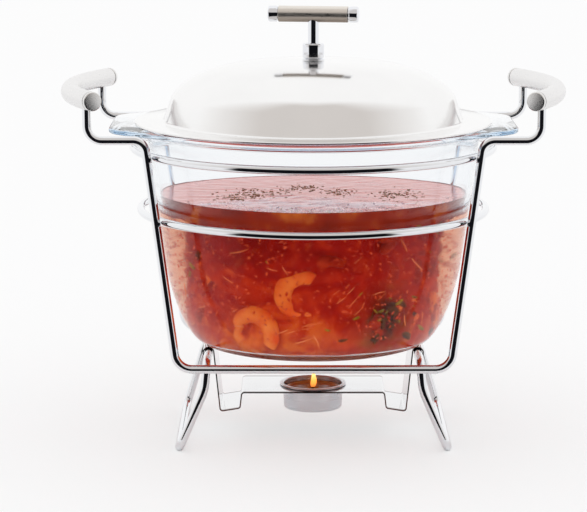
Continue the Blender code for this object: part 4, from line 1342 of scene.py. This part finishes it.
def studio_world():
    """White room; in reflections its front is a grey wall with a dark opening low down."""
    world = bpy.data.worlds.new("studio")
    world.use_nodes = True
    tree = world.node_tree
    towards = axes(tree, add(tree, "ShaderNodeTexCoord").outputs["Generated"])
    elevation = calculate(tree, "ARCSINE", towards["Z"])
    low = ranged(tree, elevation, 1.0, 0.0, DARK_TOP - DARK_EDGE, DARK_TOP + DARK_EDGE)
    dark = calculate(tree, "MULTIPLY", low, front_share(tree, towards, DARK_HALF_AZIMUTH, DARK_EDGE))
    under = ranged(tree, elevation, 1.0, 0.0, ROOM_TOP - ROOM_EDGE, ROOM_TOP)
    room = calculate(tree, "MULTIPLY", under, front_share(tree, towards, ROOM_HALF_AZIMUTH, ROOM_SIDE_EDGE))
    studio = mixed(tree, dark, mixed(tree, room, WHITE, ROOM_COLOUR), opening_colour(tree))
    colour = mixed(tree, reflected_share(tree), WHITE, studio)
    feed(tree.nodes["Background"], {"Color": colour, "Strength": 1.0})
    bpy.context.scene.world = world


def camera():
    """Long lens that looks a little down from the front."""
    data = bpy.data.cameras.new("camera")
    data.sensor_width = SENSOR_WIDTH_MM
    data.lens = LENS_MM
    made = shown("camera", data)
    made.location = CAMERA_PLACE
    made.rotation_euler = (CAMERA_TILT, 0.0, 0.0)
    bpy.context.scene.camera = made
    bpy.context.scene.view_settings.view_transform = "Standard"


def build_stand():
    """Wire frames, rings, strip, leg loops and grips."""
    chrome = bright_chrome("bright_wire")
    strip_chrome = bright_chrome("bright_strip", colour=(0.84, 0.84, 0.85), smooth=0.06, worn=0.14)
    grip_steel = satin_steel("satin_grip", (0.87, 0.86, 0.855), along=1)
    cap_steel = satin_steel("grip_cap", (0.84, 0.83, 0.82), along=0, smooth=0.20, worn=0.30)
    wire_frame("front_wire_frame", -FRAME_DEPTH, chrome)
    wire_frame("rear_wire_frame", FRAME_DEPTH, chrome)
    support_ring("upper_ring", UPPER_RING_HEIGHT, chrome)
    support_ring("lower_ring", LOWER_RING_HEIGHT, chrome)
    burner_strip(painted_edge_reflections(strip_chrome))
    for word, side in (("left", -1), ("right", 1)):
        leg_loop(word + "_leg_loop", side, chrome)
        grip_tube(word + "_grip_tube", side, grip_steel)
        grip_cap(word + "_grip_front_cap", side, -1, cap_steel)
        grip_cap(word + "_grip_rear_cap", side, 1, cap_steel)


def build_lid():
    """Lid with its knob, whose nut and core keep the shapes of their solids."""
    knob_chrome = bright_chrome("knob_steel", colour=(0.86, 0.87, 0.90))
    sleeve_steel = satin_steel("sleeve_satin", (0.84, 0.79, 0.73), along=0)
    lid_shell(spun_steel("lid_steel", (0.93, 0.925, 0.92)))
    knob(knob_chrome)
    crossbar(knob_chrome, painted_shade_below(sleeve_steel))
    repaint("knob_nut", knob_chrome)
    repaint("crossbar_core", knob_chrome)


def build_tea_light():
    """Cup, wax and flame, with a wick and a wick holder that keep the shapes of their solids."""
    foil = spun_steel("cup_foil", (0.76, 0.76, 0.79), smooth=0.24, worn=0.32)
    cup(foil)
    molten_wax(wax())
    repaint("tealight_wick", mottled("wick_cotton"))
    repaint("wick_holder", foil)
    flame(fire())


def build_soup():
    """Soup with everything in it."""
    soup(broth())
    soup_cloud(pulp_in_depth())
    soup_skin(fatty_skin())
    fat_ring(mottled("fat"))
    garnish({name: mottled(name) for name in ("shrimp", "pulp", "thread", "green", "haze", "leaf")})
    herbs(mottled("herb"))
    foam(mottled("foam"))


build_stand()
glass_bowl(clear_glass())
build_lid()
build_tea_light()
build_soup()
camera()
floor()
studio_world()
